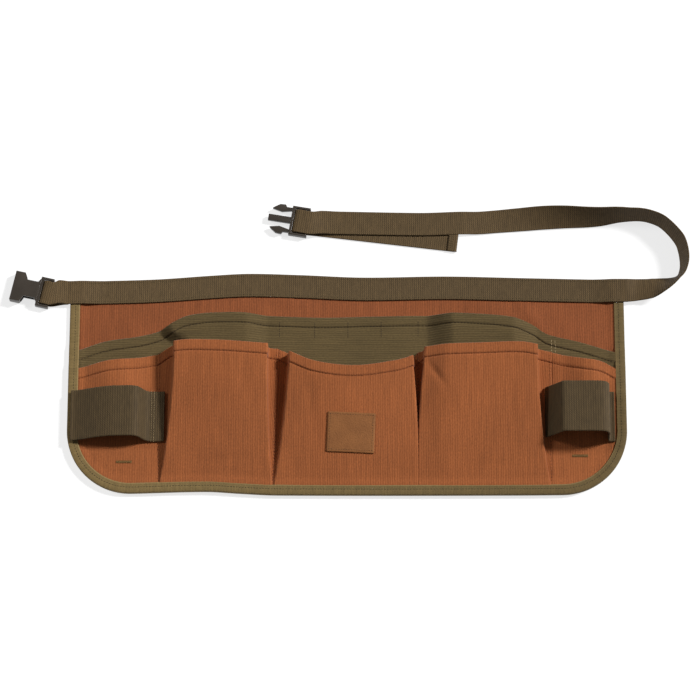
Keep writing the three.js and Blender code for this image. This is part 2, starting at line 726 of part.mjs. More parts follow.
// The loose strap: the edge that rests on the table, and how far the webbing is rolled up on it
function strapStations() {
  const rows = [];
  for (const row of BEND) {
    rows.push({
      x: HALF_WIDTH + row.out * BEND_REACH,
      y: STRAP_EDGE + row.up * STRAP_RISE,
      roll: row.roll,
      lift: 0,
    });
  }
  for (const row of RETURN_RUN) {
    rows.push({
      x: RETURN_START - row.along * STRAP_RUN,
      y: STRAP_EDGE + row.up * STRAP_RISE,
      roll: row.roll,
      lift: row.lift * (WEBBING + GAP),
    });
  }
  return rows.map((row, k) => {
    const before = rows[Math.max(k - 1, 0)];
    const after = rows[Math.min(k + 1, rows.length - 1)];
    const heading = Math.atan2(after.y - before.y, after.x - before.x);
    const roll = row.roll * TURN;
    const side = new THREE.Vector3(
      Math.sin(heading) * Math.cos(roll),
      -Math.cos(heading) * Math.cos(roll),
      Math.sin(roll),
    );
    const centre = new THREE.Vector3(row.x, row.y, row.lift + UNDER * Math.cos(roll))
      .addScaledVector(side, BELT_WIDTH / 2);
    const normal = new THREE.Vector3(Math.cos(heading), Math.sin(heading), 0).cross(side);
    return { centre, side, normal };
  });
}

function tailStations() {
  const angle = TAIL_ANGLE * TURN;
  const side = new THREE.Vector3(-Math.sin(angle), Math.cos(angle), 0);
  return [0.12, 0.4, 0.7, 0.92, 1].map((share) => ({
    centre: new THREE.Vector3(
      PLUG_AT.x + share * TAIL_LENGTH * Math.cos(angle),
      PLUG_AT.y + share * TAIL_LENGTH * Math.sin(angle),
      UNDER,
    ),
    side: side.clone(),
  }));
}

// Plastic parts are cut and joined as solids
function toSolid(geometry) {
  const bare = geometry.clone();
  bare.deleteAttribute('normal');
  bare.deleteAttribute('uv');
  const merged = mergeVertices(bare, 1e-4);
  return new wasm.Manifold(new wasm.Mesh({
    numProp: 3,
    vertProperties: new Float32Array(merged.attributes.position.array),
    triVerts: new Uint32Array(merged.index.array),
  }));
}

function fromSolid(shape) {
  const mesh = shape.getMesh();
  const geometry = new THREE.BufferGeometry();
  geometry.setAttribute('position', new THREE.Float32BufferAttribute(mesh.vertProperties, 3));
  geometry.setIndex(Array.from(mesh.triVerts));
  return geometry;
}

// A plate from an outline in plan, between two heights
function plate(outline, low, high) {
  const shape = new THREE.Shape(outline.map(([x, y]) => new THREE.Vector2(x, y)));
  const geometry = new THREE.ExtrudeGeometry(shape, { depth: high - low, bevelEnabled: false });
  geometry.translate(0, 0, low);
  return toSolid(geometry);
}

function block(x0, x1, y0, y1, z0, z1) {
  return plate([[x0, y0], [x1, y0], [x1, y1], [x0, y1]], z0, z1);
}

function mirrored(outline) {
  return outline.map(([x, y]) => [x, -y]).reverse();
}

const FRAME_HALF = BELT_WIDTH / 2 + BUCKLE_PLAY + FRAME_WALL;
const FRAME_HIGH = OVER - WEBBING / 2 + 0.6;

// The frame that carries the webbing: two side walls and a bar across them at the origin
function webbingFrame(end) {
  const inner = FRAME_HALF - FRAME_WALL;
  const outer = block(-BAR / 2 - SLOT - 3, end, -FRAME_HALF, FRAME_HALF, 0, FRAME_HIGH);
  const hollow = block(-BAR / 2 - SLOT, end + 1, -inner, inner, -1, FRAME_HIGH + 1);
  const bar = block(-BAR / 2, BAR / 2, -FRAME_HALF, FRAME_HALF, BAR_LOW, BAR_LOW + BAR_THICK);
  return outer.subtract(hollow).add(bar);
}

function placeBuckle(name, shape, frame) {
  const geometry = fromSolid(shape);
  const mesh = add(name, geometry, PLASTIC);
  mesh.rotation.z = frame.angle * TURN;
  mesh.position.set(frame.x, frame.y, 0);
}

function femaleBuckle() {
  const rear = -BAR / 2 - SLOT - 3;
  const neckEnd = rear - NECK_LENGTH;
  const mouth = neckEnd - MOUTH_LENGTH;
  const half = FRAME_HALF;
  const body = plate([
    [mouth, -half], [neckEnd - 2, -half], [neckEnd, -half + 3], [neckEnd + 1.5, -NECK_WIDTH / 2],
    [rear - 2, -NECK_WIDTH / 2], [rear + 0.5, -half + 2.5], [rear + 0.5, half - 2.5],
    [rear - 2, NECK_WIDTH / 2], [neckEnd + 1.5, NECK_WIDTH / 2], [neckEnd, half - 3],
    [neckEnd - 2, half], [mouth, half],
  ], 0, BUCKLE_THICK);
  const hollow = block(mouth - 1, rear - 3, -half + BUCKLE_WALL, half - BUCKLE_WALL,
    BUCKLE_WALL, BUCKLE_THICK - BUCKLE_WALL);
  const frame = webbingFrame(BAR / 2);
  placeBuckle('female_buckle', body.subtract(hollow).add(frame), SOCKET_AT);
}

function maleBuckle() {
  const front = -BAR / 2 - SLOT - 3;
  const low = 1.4;
  const high = low + 4.2;
  const half = FRAME_HALF;
  const armOut = half - 2.2;
  const armIn = armOut - ARM_WIDTH;
  const tip = front - PRONG_LENGTH * 0.88;
  const barb = front - PRONG_LENGTH * 0.32;
  const arm = [
    [front + 1, armIn], [front + 1, armOut], [barb + 1.5, armOut], [barb, half + 0.4],
    [barb - 6, half], [tip + 2, armOut - 1.6], [tip, armIn - 0.4], [barb - 3, armIn - 2.6],
    [barb + 1.5, armIn - 1.6],
  ].reverse();
  const prong = block(front - PRONG_LENGTH, front + 1, -PRONG_WIDTH / 2, PRONG_WIDTH / 2, low, high);
  const frame = webbingFrame(BAR * 1.5);
  const endBar = block(BAR * 1.5 - 3, BAR * 1.5, -half, half, BAR_LOW, BAR_LOW + BAR_THICK);
  const body = frame.add(endBar).add(prong)
    .add(plate(arm, low, high))
    .add(plate(mirrored(arm), low, high));
  placeBuckle('male_buckle', body, PLUG_AT);
}

backPanel();
innerPanel();
sidePocket('left_side_pocket', LEFT_SIDE);
for (const pouch of POUCHES) pouchPiece(pouch);
sidePocket('right_side_pocket', RIGHT_SIDE);
edgeBinding();
const layerSeat = 3 * (CANVAS + GAP);
hammerLoop('left_hammer_loop', LEFT_LOOP, -HALF_WIDTH + LEFT_LOOP_INSET, seamAt(0, LOOP_MIDDLE) + LEFT_LOOP_REACH,
  (t) => THREE.MathUtils.lerp(INSET + layerSeat + TAPE + GAP, layerSeat, smooth(t * 2)),
  LEFT_LOOP_RISE, LEFT_LOOP_SKEW);
hammerLoop('right_hammer_loop', RIGHT_LOOP, seamAt(3, LOOP_MIDDLE) - RIGHT_LOOP_REACH,
  tapeInner(LOOP_MIDDLE - LOOP_WIDTH / 2) - GAP,
  (t) => THREE.MathUtils.lerp(layerSeat, layerSeat + INSET, smooth(t * 2 - 1)),
  RIGHT_LOOP_RISE, RIGHT_LOOP_SKEW);
beltPiece();
femaleBuckle();
maleBuckle();
labelPatch();

export default apron;
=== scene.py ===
# %% [markdown]
# A carpenter's nail apron lies open on a table with its front up. It is cotton duck cloth on a
# webbing belt, with pleated pouches, flat pockets, two loops for hammers and a side release buckle.
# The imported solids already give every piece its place, so this script only adds what cloth has:
# fine folds, hems, ribs, thread and finish.

# %% Load the frame
import math
import bpy
import numpy as np
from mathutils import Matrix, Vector


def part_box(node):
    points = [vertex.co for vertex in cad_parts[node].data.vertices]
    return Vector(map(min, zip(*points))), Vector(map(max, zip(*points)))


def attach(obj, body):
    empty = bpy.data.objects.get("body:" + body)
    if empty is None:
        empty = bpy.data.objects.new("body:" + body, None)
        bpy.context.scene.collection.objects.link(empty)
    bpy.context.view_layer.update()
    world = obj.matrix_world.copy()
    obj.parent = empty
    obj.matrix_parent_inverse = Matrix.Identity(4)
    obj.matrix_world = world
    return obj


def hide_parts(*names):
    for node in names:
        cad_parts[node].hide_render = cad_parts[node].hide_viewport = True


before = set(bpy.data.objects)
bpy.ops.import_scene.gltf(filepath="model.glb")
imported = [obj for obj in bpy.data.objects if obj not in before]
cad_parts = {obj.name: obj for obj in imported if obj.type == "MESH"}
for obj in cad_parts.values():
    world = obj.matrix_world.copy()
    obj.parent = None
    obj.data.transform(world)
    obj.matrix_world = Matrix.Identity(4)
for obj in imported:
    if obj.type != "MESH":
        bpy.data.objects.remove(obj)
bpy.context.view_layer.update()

print("nodes in the frame:", len(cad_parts))

# %% [markdown]
# Work in cloth is measured in millimetres, and Blender counts in metres. The shapes below are
# worked out in millimetres, as on a pattern, and are scaled once, when a mesh is made.
# A table holds shares: x of half the body's width, y of half its height.

# %% Sizes of the body
MM = 0.001
TURN = math.pi / 180
binding_low, binding_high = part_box("edge_binding")
HALF_WIDTH = (binding_high.x - binding_low.x) / 2 / MM
HALF_HEIGHT = 118.5
CORNER_RADIUS = 68
CANVAS = 1.0
GAP = 0.3
TAPE = 1.0
TAPE_WIDTH = 10.5
TAPE_EASE = 8
INSET = TAPE + GAP
PANEL_EDGE = HALF_WIDTH - INSET
BELT_WIDTH = 25.4
UNDER_BELT = 0.37 * BELT_WIDTH
WEBBING = 1.6
RAMP_EASE = 0.45

TOP_LINE = dict(
    x=[-1.0, -0.7, -0.487, -0.357, -0.168, 0.055, 0.36, 0.638, 0.906, 1.0],
    y=[0.856, 0.876, 0.913, 0.93, 0.918, 0.895, 0.905, 0.89, 0.876, 0.876],
)
BOTTOM_LINE = dict(
    x=[-1.0, -0.78, -0.5, -0.38, -0.25, 0.6, 1.0],
    y=[-0.99, -0.985, -0.968, -0.985, -1.0, -1.0, -0.99],
)
INNER_TOP = dict(
    x=[-1.0, -0.875, -0.75, -0.67, -0.573, -0.43, -0.274, -0.083,
       0.1, 0.285, 0.51, 0.605, 0.674, 0.72, 0.843, 1.0],
    y=[0.283, 0.398, 0.447, 0.5, 0.618, 0.652, 0.637, 0.622,
       0.633, 0.638, 0.615, 0.587, 0.543, 0.47, 0.392, 0.27],
)
MOUTH_LEVEL = 0.3
SEAMS = dict(bottom=[-0.672, -0.265, 0.252, 0.7276], top=[-0.682, -0.247, 0.2555, 0.737])


def curve(where, value, at):
    """A smooth line through the rows of a table, read at one place or at many."""
    where, value = np.asarray(where, float), np.asarray(value, float)
    slope = np.empty_like(value)
    slope[1:-1] = (value[2:] - value[:-2]) / (where[2:] - where[:-2])
    slope[0] = (value[1] - value[0]) / (where[1] - where[0])
    slope[-1] = (value[-1] - value[-2]) / (where[-1] - where[-2])
    i = np.clip(np.searchsorted(where, at) - 1, 0, len(where) - 2)
    span = where[i + 1] - where[i]
    t = np.clip((at - where[i]) / span, 0, 1)
    return (
        (2 * t**3 - 3 * t**2 + 1) * value[i] + (t**3 - 2 * t**2 + t) * span * slope[i]
        + (3 * t**2 - 2 * t**3) * value[i + 1] + (t**3 - t**2) * span * slope[i + 1]
    )


def smooth(t):
    t = np.clip(t, 0, 1)
    return t * t * (3 - 2 * t)


def eased(value, low, high):
    """0 below low, 1 above high, and a smooth rise between them."""
    return smooth((value - low) / (high - low))


def ramp(t):
    """Like smooth, with a longer straight part."""
    t = np.clip(t, 0, 1)
    return lerp(t, smooth(t), RAMP_EASE)


def lerp(a, b, t):
    return a + (b - a) * t


def line_at(table, x):
    return HALF_HEIGHT * curve(table["x"], table["y"], np.asarray(x) / HALF_WIDTH)


def belt_centre(x):
    return line_at(TOP_LINE, x)


def seam_at(i, y):
    t = (np.asarray(y) / HALF_HEIGHT + 1) / (1 + MOUTH_LEVEL)
    return HALF_WIDTH * lerp(SEAMS["bottom"][i], SEAMS["top"][i], t)


def bottom_at(x, inset=INSET):
    radius = CORNER_RADIUS - inset
    into = np.maximum(np.abs(x) - (HALF_WIDTH - CORNER_RADIUS), 0)
    return line_at(BOTTOM_LINE, x) + inset + radius - np.sqrt(np.maximum(radius**2 - into**2, 0))


def edge_distance(x, y):
    across = np.abs(x) - (HALF_WIDTH - CORNER_RADIUS)
    down = line_at(BOTTOM_LINE, x) + CORNER_RADIUS - y
    round_part = CORNER_RADIUS - np.hypot(across, down)
    straight_part = CORNER_RADIUS - np.maximum(across, down)
    return np.where((across > 0) & (down > 0), round_part, straight_part)


BACK_LAYER, INNER_LAYER, FRONT_LAYER = range(3)


def layer(number, x, y):
    """Height of a layer's underside: every layer rises near the edge, over the tape's back leg."""
    over = (edge_distance(x, y) - TAPE_WIDTH) / TAPE_EASE
    return INSET * (1 - smooth(over)) + number * (CANVAS + GAP)


print("body", round(2 * HALF_WIDTH), "by", round(2 * HALF_HEIGHT), "mm")

# %% [markdown]
# The photograph was taken from high in front with a long lens. A long lens keeps the two ends of
# the belt the same size, so the camera stands 3.5 m away and looks down at 73 degrees.

# %% Camera
VIEW_WIDTH = 735
VIEW_DISTANCE = 3500
VIEW_HEIGHT_ANGLE = 73
VIEW_CENTRE = (3.15, 39.5)
SENSOR = 36

camera_data = bpy.data.cameras.new("camera")
camera_data.sensor_width = SENSOR
camera_data.lens = SENSOR * VIEW_DISTANCE / VIEW_WIDTH
camera = bpy.data.objects.new("camera", camera_data)
bpy.context.scene.collection.objects.link(camera)
aim = Vector((*VIEW_CENTRE, 0)) * MM
tilt = VIEW_HEIGHT_ANGLE * TURN
camera.location = aim + Vector((0, -math.cos(tilt), math.sin(tilt))) * VIEW_DISTANCE * MM
camera.rotation_euler = (math.pi / 2 - tilt, 0, 0)
bpy.context.scene.camera = camera
print("lens", round(camera_data.lens), "mm")

# %% [markdown]
# Two soft lamps stand a little behind the apron, a strong one at the right and a weak one at the
# left, so the left side of each fold is dark, but not black. A weak even sky fills the shadows.
# The floor is pale and plain, and glows a little, so that the shadows on it stay pale.

# %% Light and floor
LAMPS = dict(name=["right lamp", "left lamp"], strength=[4.0, 0.8], side=[1, -1])
LAMP_SOFTNESS = 10
LAMP_HEIGHT_ANGLE = 37
LAMP_BACK_ANGLE = 25
SKY_STRENGTH = 0.17
FLOOR_SIZE = 12
FLOOR_DROP = 0.0004
FLOOR_LOOK = {
    "Base Color": (0.35, 0.35, 0.35, 1),
    "Emission Color": (1, 1, 1, 1),
    "Emission Strength": 0.72,
    "Roughness": 0.9,
    "Specular IOR Level": 0.1,
}

scene = bpy.context.scene
scene.view_settings.view_transform = "Standard"
up_angle, round_angle = LAMP_HEIGHT_ANGLE * TURN, LAMP_BACK_ANGLE * TURN
for name, strength, side in zip(*LAMPS.values()):
    lamp_data = bpy.data.lights.new(name, "SUN")
    lamp_data.energy = strength
    lamp_data.angle = LAMP_SOFTNESS * TURN
    lamp = bpy.data.objects.new(name, lamp_data)
    scene.collection.objects.link(lamp)
    to_light = Vector((
        side * math.cos(up_angle) * math.cos(round_angle),
        math.cos(up_angle) * math.sin(round_angle),
        math.sin(up_angle),
    ))
    lamp.rotation_euler = to_light.to_track_quat("Z", "Y").to_euler()

world = bpy.data.worlds.new("sky")
world.use_nodes = True
sky = world.node_tree.nodes["Background"]
sky.inputs["Color"].default_value = (1, 1, 1, 1)
sky.inputs["Strength"].default_value = SKY_STRENGTH
scene.world = world

bpy.ops.mesh.primitive_plane_add(size=FLOOR_SIZE, location=(0, 0, -FLOOR_DROP))
floor = bpy.context.object
floor.name = "floor"
floor_finish = bpy.data.materials.new("floor paint")
floor_finish.use_nodes = True
floor_shader = floor_finish.node_tree.nodes["Principled BSDF"]
for socket_name, value in FLOOR_LOOK.items():
    floor_shader.inputs[socket_name].default_value = value
floor.data.materials.append(floor_finish)
print("lamps:", len(LAMPS["name"]), "floor", FLOOR_SIZE, "m wide")

# %% [markdown]
# A finish is a small network of nodes. This helper adds a node and hands back its result, so that
# a finish below reads as a short list of steps. Cloth patterns read the piece's own map, in
# metres along and across the cloth, so the ribs follow every fold. Noise is given by its scale,
# in waves to a metre, and by how far it lightens and darkens a colour.

# %% Helper for finishes
COLOUR_MIX = dict(amount=0, first=6, second=7)


class Finish:
    def __init__(self, name, **constants):
        self.material = bpy.data.materials.new(name)
        self.material.use_nodes = True
        self.tree = self.material.node_tree
        self.shader = self.tree.nodes["Principled BSDF"]
        for key_name, value in constants.items():
            self.shader.inputs[key_name.replace("_", " ")].default_value = value

    def put(self, kind, inputs, output=0, **settings):
        made = self.tree.nodes.new(kind)
        for key_name, value in settings.items():
            setattr(made, key_name, value)
        for key_name, value in inputs.items():
            if isinstance(value, bpy.types.NodeSocket):
                self.tree.links.new(value, made.inputs[key_name])
            else:
                made.inputs[key_name].default_value = value
        return made.outputs[output]

    def calc(self, operation, *values):
        return self.put("ShaderNodeMath", dict(enumerate(values)), operation=operation)

    def spread(self, value, low, high):
        """Moves a value between 0 and 1 to lie between low and high."""
        return self.calc("MULTIPLY_ADD", value, high - low, low)

    def vary(self, colour, value, share):
        """Lightens and darkens a colour by a share, as a value goes from 0 to 1."""
        return self.shade(colour, self.spread(value, 1 - share, 1 + share))

    def scaled(self, x, x_scale, y, y_scale):
        """The place on the cloth, stretched in each direction, for noise that follows yarns."""
        return self.joined(self.calc("MULTIPLY", x, x_scale), self.calc("MULTIPLY", y, y_scale))

    def place(self):
        """Metres across and along the cloth."""
        spot = self.put("ShaderNodeUVMap", {}, uv_map="cloth")
        split = self.tree.nodes.new("ShaderNodeSeparateXYZ")
        self.tree.links.new(spot, split.inputs[0])
        return split.outputs[0], split.outputs[1]

    def noise(self, vector, scale, detail=2.0):
        return self.put("ShaderNodeTexNoise", dict(Vector=vector, Scale=scale, Detail=detail))

    def to_the_right(self, change):
        """1 in the middle of the body, and more or less by a share of change towards its ends: a slope
        of painted light and shade.
        """
        spot = self.put("ShaderNodeTexCoord", {}, output="Object")
        split = self.tree.nodes.new("ShaderNodeSeparateXYZ")
        self.tree.links.new(spot, split.inputs[0])
        return self.spread(split.outputs[0], 1.0, 1.0 + change / (HALF_WIDTH * MM))

    def joined(self, x, y):
        return self.put("ShaderNodeCombineXYZ", dict(X=x, Y=y))

    def shade(self, colour, amount):
        return self.put("ShaderNodeVectorMath", {0: colour, "Scale": amount}, operation="SCALE")

    def blend(self, amount, first, second):
        made = self.tree.nodes.new("ShaderNodeMix")
        made.data_type = "RGBA"
        for number, value in zip(COLOUR_MIX.values(), (amount, first, second)):
            socket = made.inputs[number]
            if isinstance(value, bpy.types.NodeSocket):
                self.tree.links.new(value, socket)
            else:
                socket.default_value = value if isinstance(value, float) else (*value, 1)
        return made.outputs[2]

    def bump(self, height, distance, strength=1.0, under=None):
        inputs = dict(Height=height, Distance=distance, Strength=strength)
        if under is not None:
            inputs["Normal"] = under
        return self.put("ShaderNodeBump", inputs)

    def done(self, colour, normal):
        self.tree.links.new(colour, self.shader.inputs["Base Color"])
        self.tree.links.new(normal, self.shader.inputs["Normal"])
        return self.material


def linear(red, green, blue):
    """A colour as a screen shows it, 0 to 255, turned into the light that it stands for."""
    return tuple(((c / 255 + 0.055) / 1.055) ** 2.4 for c in (red, green, blue))


# %% [markdown]
# Duck is a plain weave with a heavy doubled warp. The warp stands up as fine ribs along the cloth,
# and single yarns are a little lighter or darker. The brown cloth is cut with its ribs upright and
# the olive cloth with its ribs level, so one finish serves both, with the two directions swapped.

# %% Duck canvas
RIB_PITCH = 2.5 * MM
WEFT_PITCH = 1.3 * MM
DUCK_BUMP = 0.12 * MM
RIB_WAVER = dict(scale=70.0, far=0.4 * RIB_PITCH)
YARN_TONE = dict(ribs=1.0, along=26.0, share=0.3)
FLECK_TONE = dict(ribs=2.0, along=420.0, share=0.38)
FADED_PARTS = dict(scale=11.0, share=0.2)
SOFT_FORM = dict(scale=16.0, high=5 * MM, strength=0.5)
RIB_TONE = (0.1, 0.9)
RELIEF = dict(rib=0.7, weft=0.25, yarn=0.6, strength=0.6)


def duck(name, colour, groove, level=False):
    weave = Finish(name, Roughness=0.86, Specular_IOR_Level=0.2, Sheen_Weight=0.12)
    across, along = weave.place()
    if level:
        across, along = along, across
    both = weave.joined(across, along)
    waver = weave.noise(both, RIB_WAVER["scale"])
    waver = weave.spread(waver, -RIB_WAVER["far"], RIB_WAVER["far"])
    turns = weave.calc("MULTIPLY", weave.calc("ADD", across, waver), 2 * math.pi / RIB_PITCH)
    rib = weave.calc("SINE", turns)
    weft = weave.calc("SINE", weave.calc("MULTIPLY", along, 2 * math.pi / WEFT_PITCH))
    yarn_place = weave.scaled(across, YARN_TONE["ribs"] / RIB_PITCH, along, YARN_TONE["along"])
    yarn = weave.noise(yarn_place, 1.1, 3.0)
    fleck_place = weave.scaled(across, FLECK_TONE["ribs"] / RIB_PITCH, along, FLECK_TONE["along"])
    fleck = weave.noise(fleck_place, 1.0, 3.0)
    fade = weave.noise(both, FADED_PARTS["scale"], 3.0)
    tone = weave.blend(weave.spread(rib, *RIB_TONE), groove, colour)
    tone = weave.vary(tone, yarn, YARN_TONE["share"])
    tone = weave.vary(tone, fleck, FLECK_TONE["share"])
    tone = weave.vary(tone, fade, FADED_PARTS["share"])
    form = weave.noise(both, SOFT_FORM["scale"], 1.0)
    soft = weave.bump(form, SOFT_FORM["high"], SOFT_FORM["strength"])
    height = weave.calc("MULTIPLY", rib, RELIEF["rib"])
    height = weave.calc("MULTIPLY_ADD", weft, RELIEF["weft"], height)
    height = weave.calc("MULTIPLY_ADD", yarn, RELIEF["yarn"], height)
    return weave.done(tone, weave.bump(height, DUCK_BUMP, RELIEF["strength"], soft))


brown_duck = duck("brown duck", linear(152, 88, 47), linear(141, 79, 41))
# The shaded copy is the same brown duck made darker: painted shade for the back panel, which shows only
# in a band under the belt.
shaded_duck = duck("shaded brown duck", linear(139, 78, 43), linear(128, 70, 37))
olive_duck = duck("olive duck", linear(95, 79, 48), linear(84, 69, 41), level=True)
print("duck ribs every", RIB_PITCH / MM, "mm")

# %% [markdown]
# Webbing and binding tape are narrow weaves with ribs straight across. The ribs of the webbing are
# part of its mesh, because they catch the light at the bends, so the finish only darkens the
# grooves and varies the yarns. The tape is thinner, and its ribs are bump. Its woven edge, the
# selvedge, is paler. Each weave's slope of painted light and shade changes its tone from end to
# end: with -0.2, the right end is a fifth darker than the middle, and the left end a fifth lighter.

# %% Webbing and tape
BELT_RIB = 2.2
LOOP_RIB = 2.5
TAPE_RIB = 1.7
ROW_PITCH = 2.4 * MM
RIB_SHADE = 0.22
RIB_MIDDLE = 0.55
WEB_YARN = dict(across=90.0, ribs=0.7, share=0.34)
WEB_FIBRE = dict(across=1100.0, along=500.0, share=0.2)
WEB_RELIEF = dict(rib=0.3, fibre=0.5, strength=0.8)
WEAVES = dict(
    olive_webbing=dict(colour=(104, 84, 55), groove=(50, 39, 24), rib=BELT_RIB, high=0.3, painted_light_slope=-0.08),
    loop_webbing=dict(colour=(90, 73, 47), groove=(46, 36, 22), rib=LOOP_RIB, high=0.3, painted_light_slope=0.0),
    olive_tape=dict(colour=(117, 98, 61), groove=(100, 83, 51), rib=TAPE_RIB, high=0.12, painted_light_slope=-0.22),
)
SELVEDGE = dict(colour=(142, 119, 78), start=TAPE_WIDTH - 1.2, share=0.5)


def woven(name, selvedge=None):
    sizes = WEAVES[name]
    pitch = sizes["rib"] * MM
    weave = Finish(name.replace("_", " "), Roughness=0.75, Specular_IOR_Level=0.2, Sheen_Weight=0.03)
    across, along = weave.place()
    rib = weave.calc("COSINE", weave.calc("MULTIPLY", along, 2 * math.pi / pitch))
    rows = weave.calc("SINE", weave.calc("MULTIPLY", across, 2 * math.pi / ROW_PITCH))
    dots = weave.calc("MULTIPLY", weave.calc("MULTIPLY", rows, rib), RIB_SHADE)
    yarn_place = weave.scaled(across, WEB_YARN["across"], along, WEB_YARN["ribs"] / pitch)
    yarn = weave.noise(yarn_place, 1.0, 3.0)
    fibre_place = weave.scaled(across, WEB_FIBRE["across"], along, WEB_FIBRE["along"])
    fibre = weave.noise(fibre_place, 1.0, 1.0)
    lightness = weave.calc("MULTIPLY_ADD", rib, RIB_SHADE, weave.calc("ADD", dots, RIB_MIDDLE))
    tone = weave.blend(lightness, linear(*sizes["groove"]), linear(*sizes["colour"]))
    tone = weave.vary(tone, yarn, WEB_YARN["share"])
    tone = weave.vary(tone, fibre, WEB_FIBRE["share"])
    # Painted light and shade: lighter towards the left end of the body and darker towards the right.
    tone = weave.shade(tone, weave.to_the_right(sizes["painted_light_slope"]))
    if selvedge:
        at_edge = weave.calc("GREATER_THAN", across, selvedge["start"] * MM)
        at_edge = weave.calc("MULTIPLY", at_edge, selvedge["share"])
        tone = weave.blend(at_edge, tone, linear(*selvedge["colour"]))
    height = weave.calc("MULTIPLY_ADD", rib, WEB_RELIEF["rib"], dots)
    height = weave.calc("MULTIPLY_ADD", fibre, WEB_RELIEF["fibre"], height)
    return weave.done(tone, weave.bump(height, sizes["high"] * MM, WEB_RELIEF["strength"]))


olive_webbing = woven("olive_webbing")
loop_webbing = woven("loop_webbing")
olive_tape = woven("olive_tape", SELVEDGE)
print("webbing ribs every", BELT_RIB, "mm")

# %% [markdown]
# Thread is spun cotton: round, dull and a little lighter where it lies on the cloth. Each cloth has
# its own thread colour. The finish only needs a soft change of tone from stitch to stitch. The
# plastic of the buckle is made in the same way, with a finer relief. Leather also has pores, and
# the cells of a Voronoi texture are a simple likeness of those.

# %% Thread, plastic and leather
THREAD_TONE = dict(scale=420.0, share=0.3)
THREAD_TWIST = dict(scale=2600.0, high=0.1 * MM, strength=0.5)
PLASTIC_TONE = dict(scale=60.0, share=0.2)
PLASTIC_GRAIN = dict(scale=1400.0, high=0.12 * MM, strength=0.35)
LEATHER_CLOUD = 60.0
LEATHER_TONE = dict(scale=500.0, share=0.15)
LEATHER_PORES = dict(scale=700.0, high=0.25 * MM, strength=0.7)


def plain_finish(name, colour, tone, grain, **constants):
    """One colour that varies softly, with a fine relief, for pieces without a weave."""
    made = Finish(name, **constants)
    spot = made.put("ShaderNodeTexCoord", {}, output="Object")
    varied = made.vary(colour, made.noise(spot, tone["scale"]), tone["share"])
    relief = made.noise(spot, grain["scale"])
    return made.done(varied, made.bump(relief, grain["high"], grain["strength"]))


def thread_finish(name, colour):
    return plain_finish(name, colour, THREAD_TONE, THREAD_TWIST, Roughness=0.7, Specular_IOR_Level=0.25)


def brown_leather():
    hide = Finish("brown leather", Roughness=0.7, Specular_IOR_Level=0.2)
    across, along = hide.place()
    both = hide.joined(across, along)
    pores = dict(Vector=both, Scale=LEATHER_PORES["scale"])
    grain = hide.put("ShaderNodeTexVoronoi", pores, feature="F1")
    cloudy = hide.noise(both, LEATHER_CLOUD, 4.0)
    tone = hide.blend(cloudy, linear(112, 70, 38), linear(150, 98, 55))
    tone = hide.vary(tone, hide.noise(both, LEATHER_TONE["scale"]), LEATHER_TONE["share"])
    return hide.done(tone, hide.bump(grain, LEATHER_PORES["high"], LEATHER_PORES["strength"]))


orange_thread = thread_finish("orange thread", linear(118, 62, 34))
olive_thread = thread_finish("olive thread", linear(84, 70, 46))
dark_thread = thread_finish("dark thread", linear(48, 38, 24))
pale_thread = thread_finish("pale thread", linear(158, 138, 102))
tack_thread = thread_finish("tack thread", linear(112, 82, 42))
black_plastic = plain_finish("dark moulded plastic", linear(60, 53, 46), PLASTIC_TONE, PLASTIC_GRAIN,
                             Roughness=0.34, Specular_IOR_Level=0.5)
leather = brown_leather()
print("finishes:", len(bpy.data.materials))

# %% [markdown]
# A panel of canvas is a grid of points on its underside. Its thickness goes up along its own
# normals, so folds keep an even cloth. The rim gets one more row, pushed outwards, because a cut
# or folded edge is round and not a knife's edge. Where the thickness grows there is a hem.

# %% Helper for cloth
RIM_SWELL = 0.3
SHORTEST = 1e-9


def unit(vectors):
    return vectors / np.maximum(np.linalg.norm(vectors, axis=-1, keepdims=True), SHORTEST)


def facing(points):
    return unit(np.cross(np.gradient(points, axis=1), np.gradient(points, axis=0)))


def piece_from(name, points, faces, places, material):
    mesh = bpy.data.meshes.new(name)
    mesh.from_pydata((points * MM).tolist(), [], faces)
    map_layer = mesh.uv_layers.new(name="cloth")
    corners = np.empty(len(mesh.loops), int)
    mesh.loops.foreach_get("vertex_index", corners)
    map_layer.data.foreach_set("uv", (places[corners] * MM).ravel())
    mesh.shade_smooth()
    mesh.materials.append(material)
    made = bpy.data.objects.new(name, mesh)
    scene.collection.objects.link(made)
    return made


def quads(index):
    corners = [index[:-1, :-1], index[:-1, 1:], index[1:, 1:], index[1:, :-1]]
    return np.stack(corners, -1).reshape(-1, 4)


def cloth(name, under, thickness, places, material):
    """Makes the piece and returns it with the grid of its outer face."""
    rows, columns = under.shape[:2]
    thickness = np.broadcast_to(thickness, (rows, columns))
    outer = under + facing(under) * thickness[..., None]
    index = np.arange(rows * columns).reshape(rows, columns)
    border = np.concatenate([index[0], index[1:, -1], index[-1, -2::-1], index[-2:0:-1, 0]])
    inside = np.concatenate([index[1], index[1:, -2], index[-2, -2::-1], index[-2:0:-1, 1]])
    flat_under, flat_outer = under.reshape(-1, 3), outer.reshape(-1, 3)
    away = unit(flat_under[border] - flat_under[inside])
    swell = RIM_SWELL * thickness.reshape(-1)[border, None]
    middle = (flat_under[border] + flat_outer[border]) / 2 + away * swell
    over = rows * columns
    rim = 2 * over + np.arange(len(border))
    after, rim_after = np.roll(border, -1), np.roll(rim, -1)
    faces = np.concatenate([
        quads(index + over),
        quads(index)[:, ::-1],
        np.stack([border, after, rim_after, rim], -1),
        np.stack([rim, rim_after, after + over, border + over], -1),
    ])
    flat_places = places.reshape(-1, 2)
    made = piece_from(
        name,
        np.concatenate([flat_under, flat_outer, middle]),
        faces.tolist(),
        np.concatenate([flat_places, flat_places, flat_places[border]]),
        material,
    )
    print(name, len(faces), "faces")
    return made, outer


def finish_piece(piece, slot, *nodes):
    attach(piece, "root")
    if nodes:
        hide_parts(*nodes)
    return piece


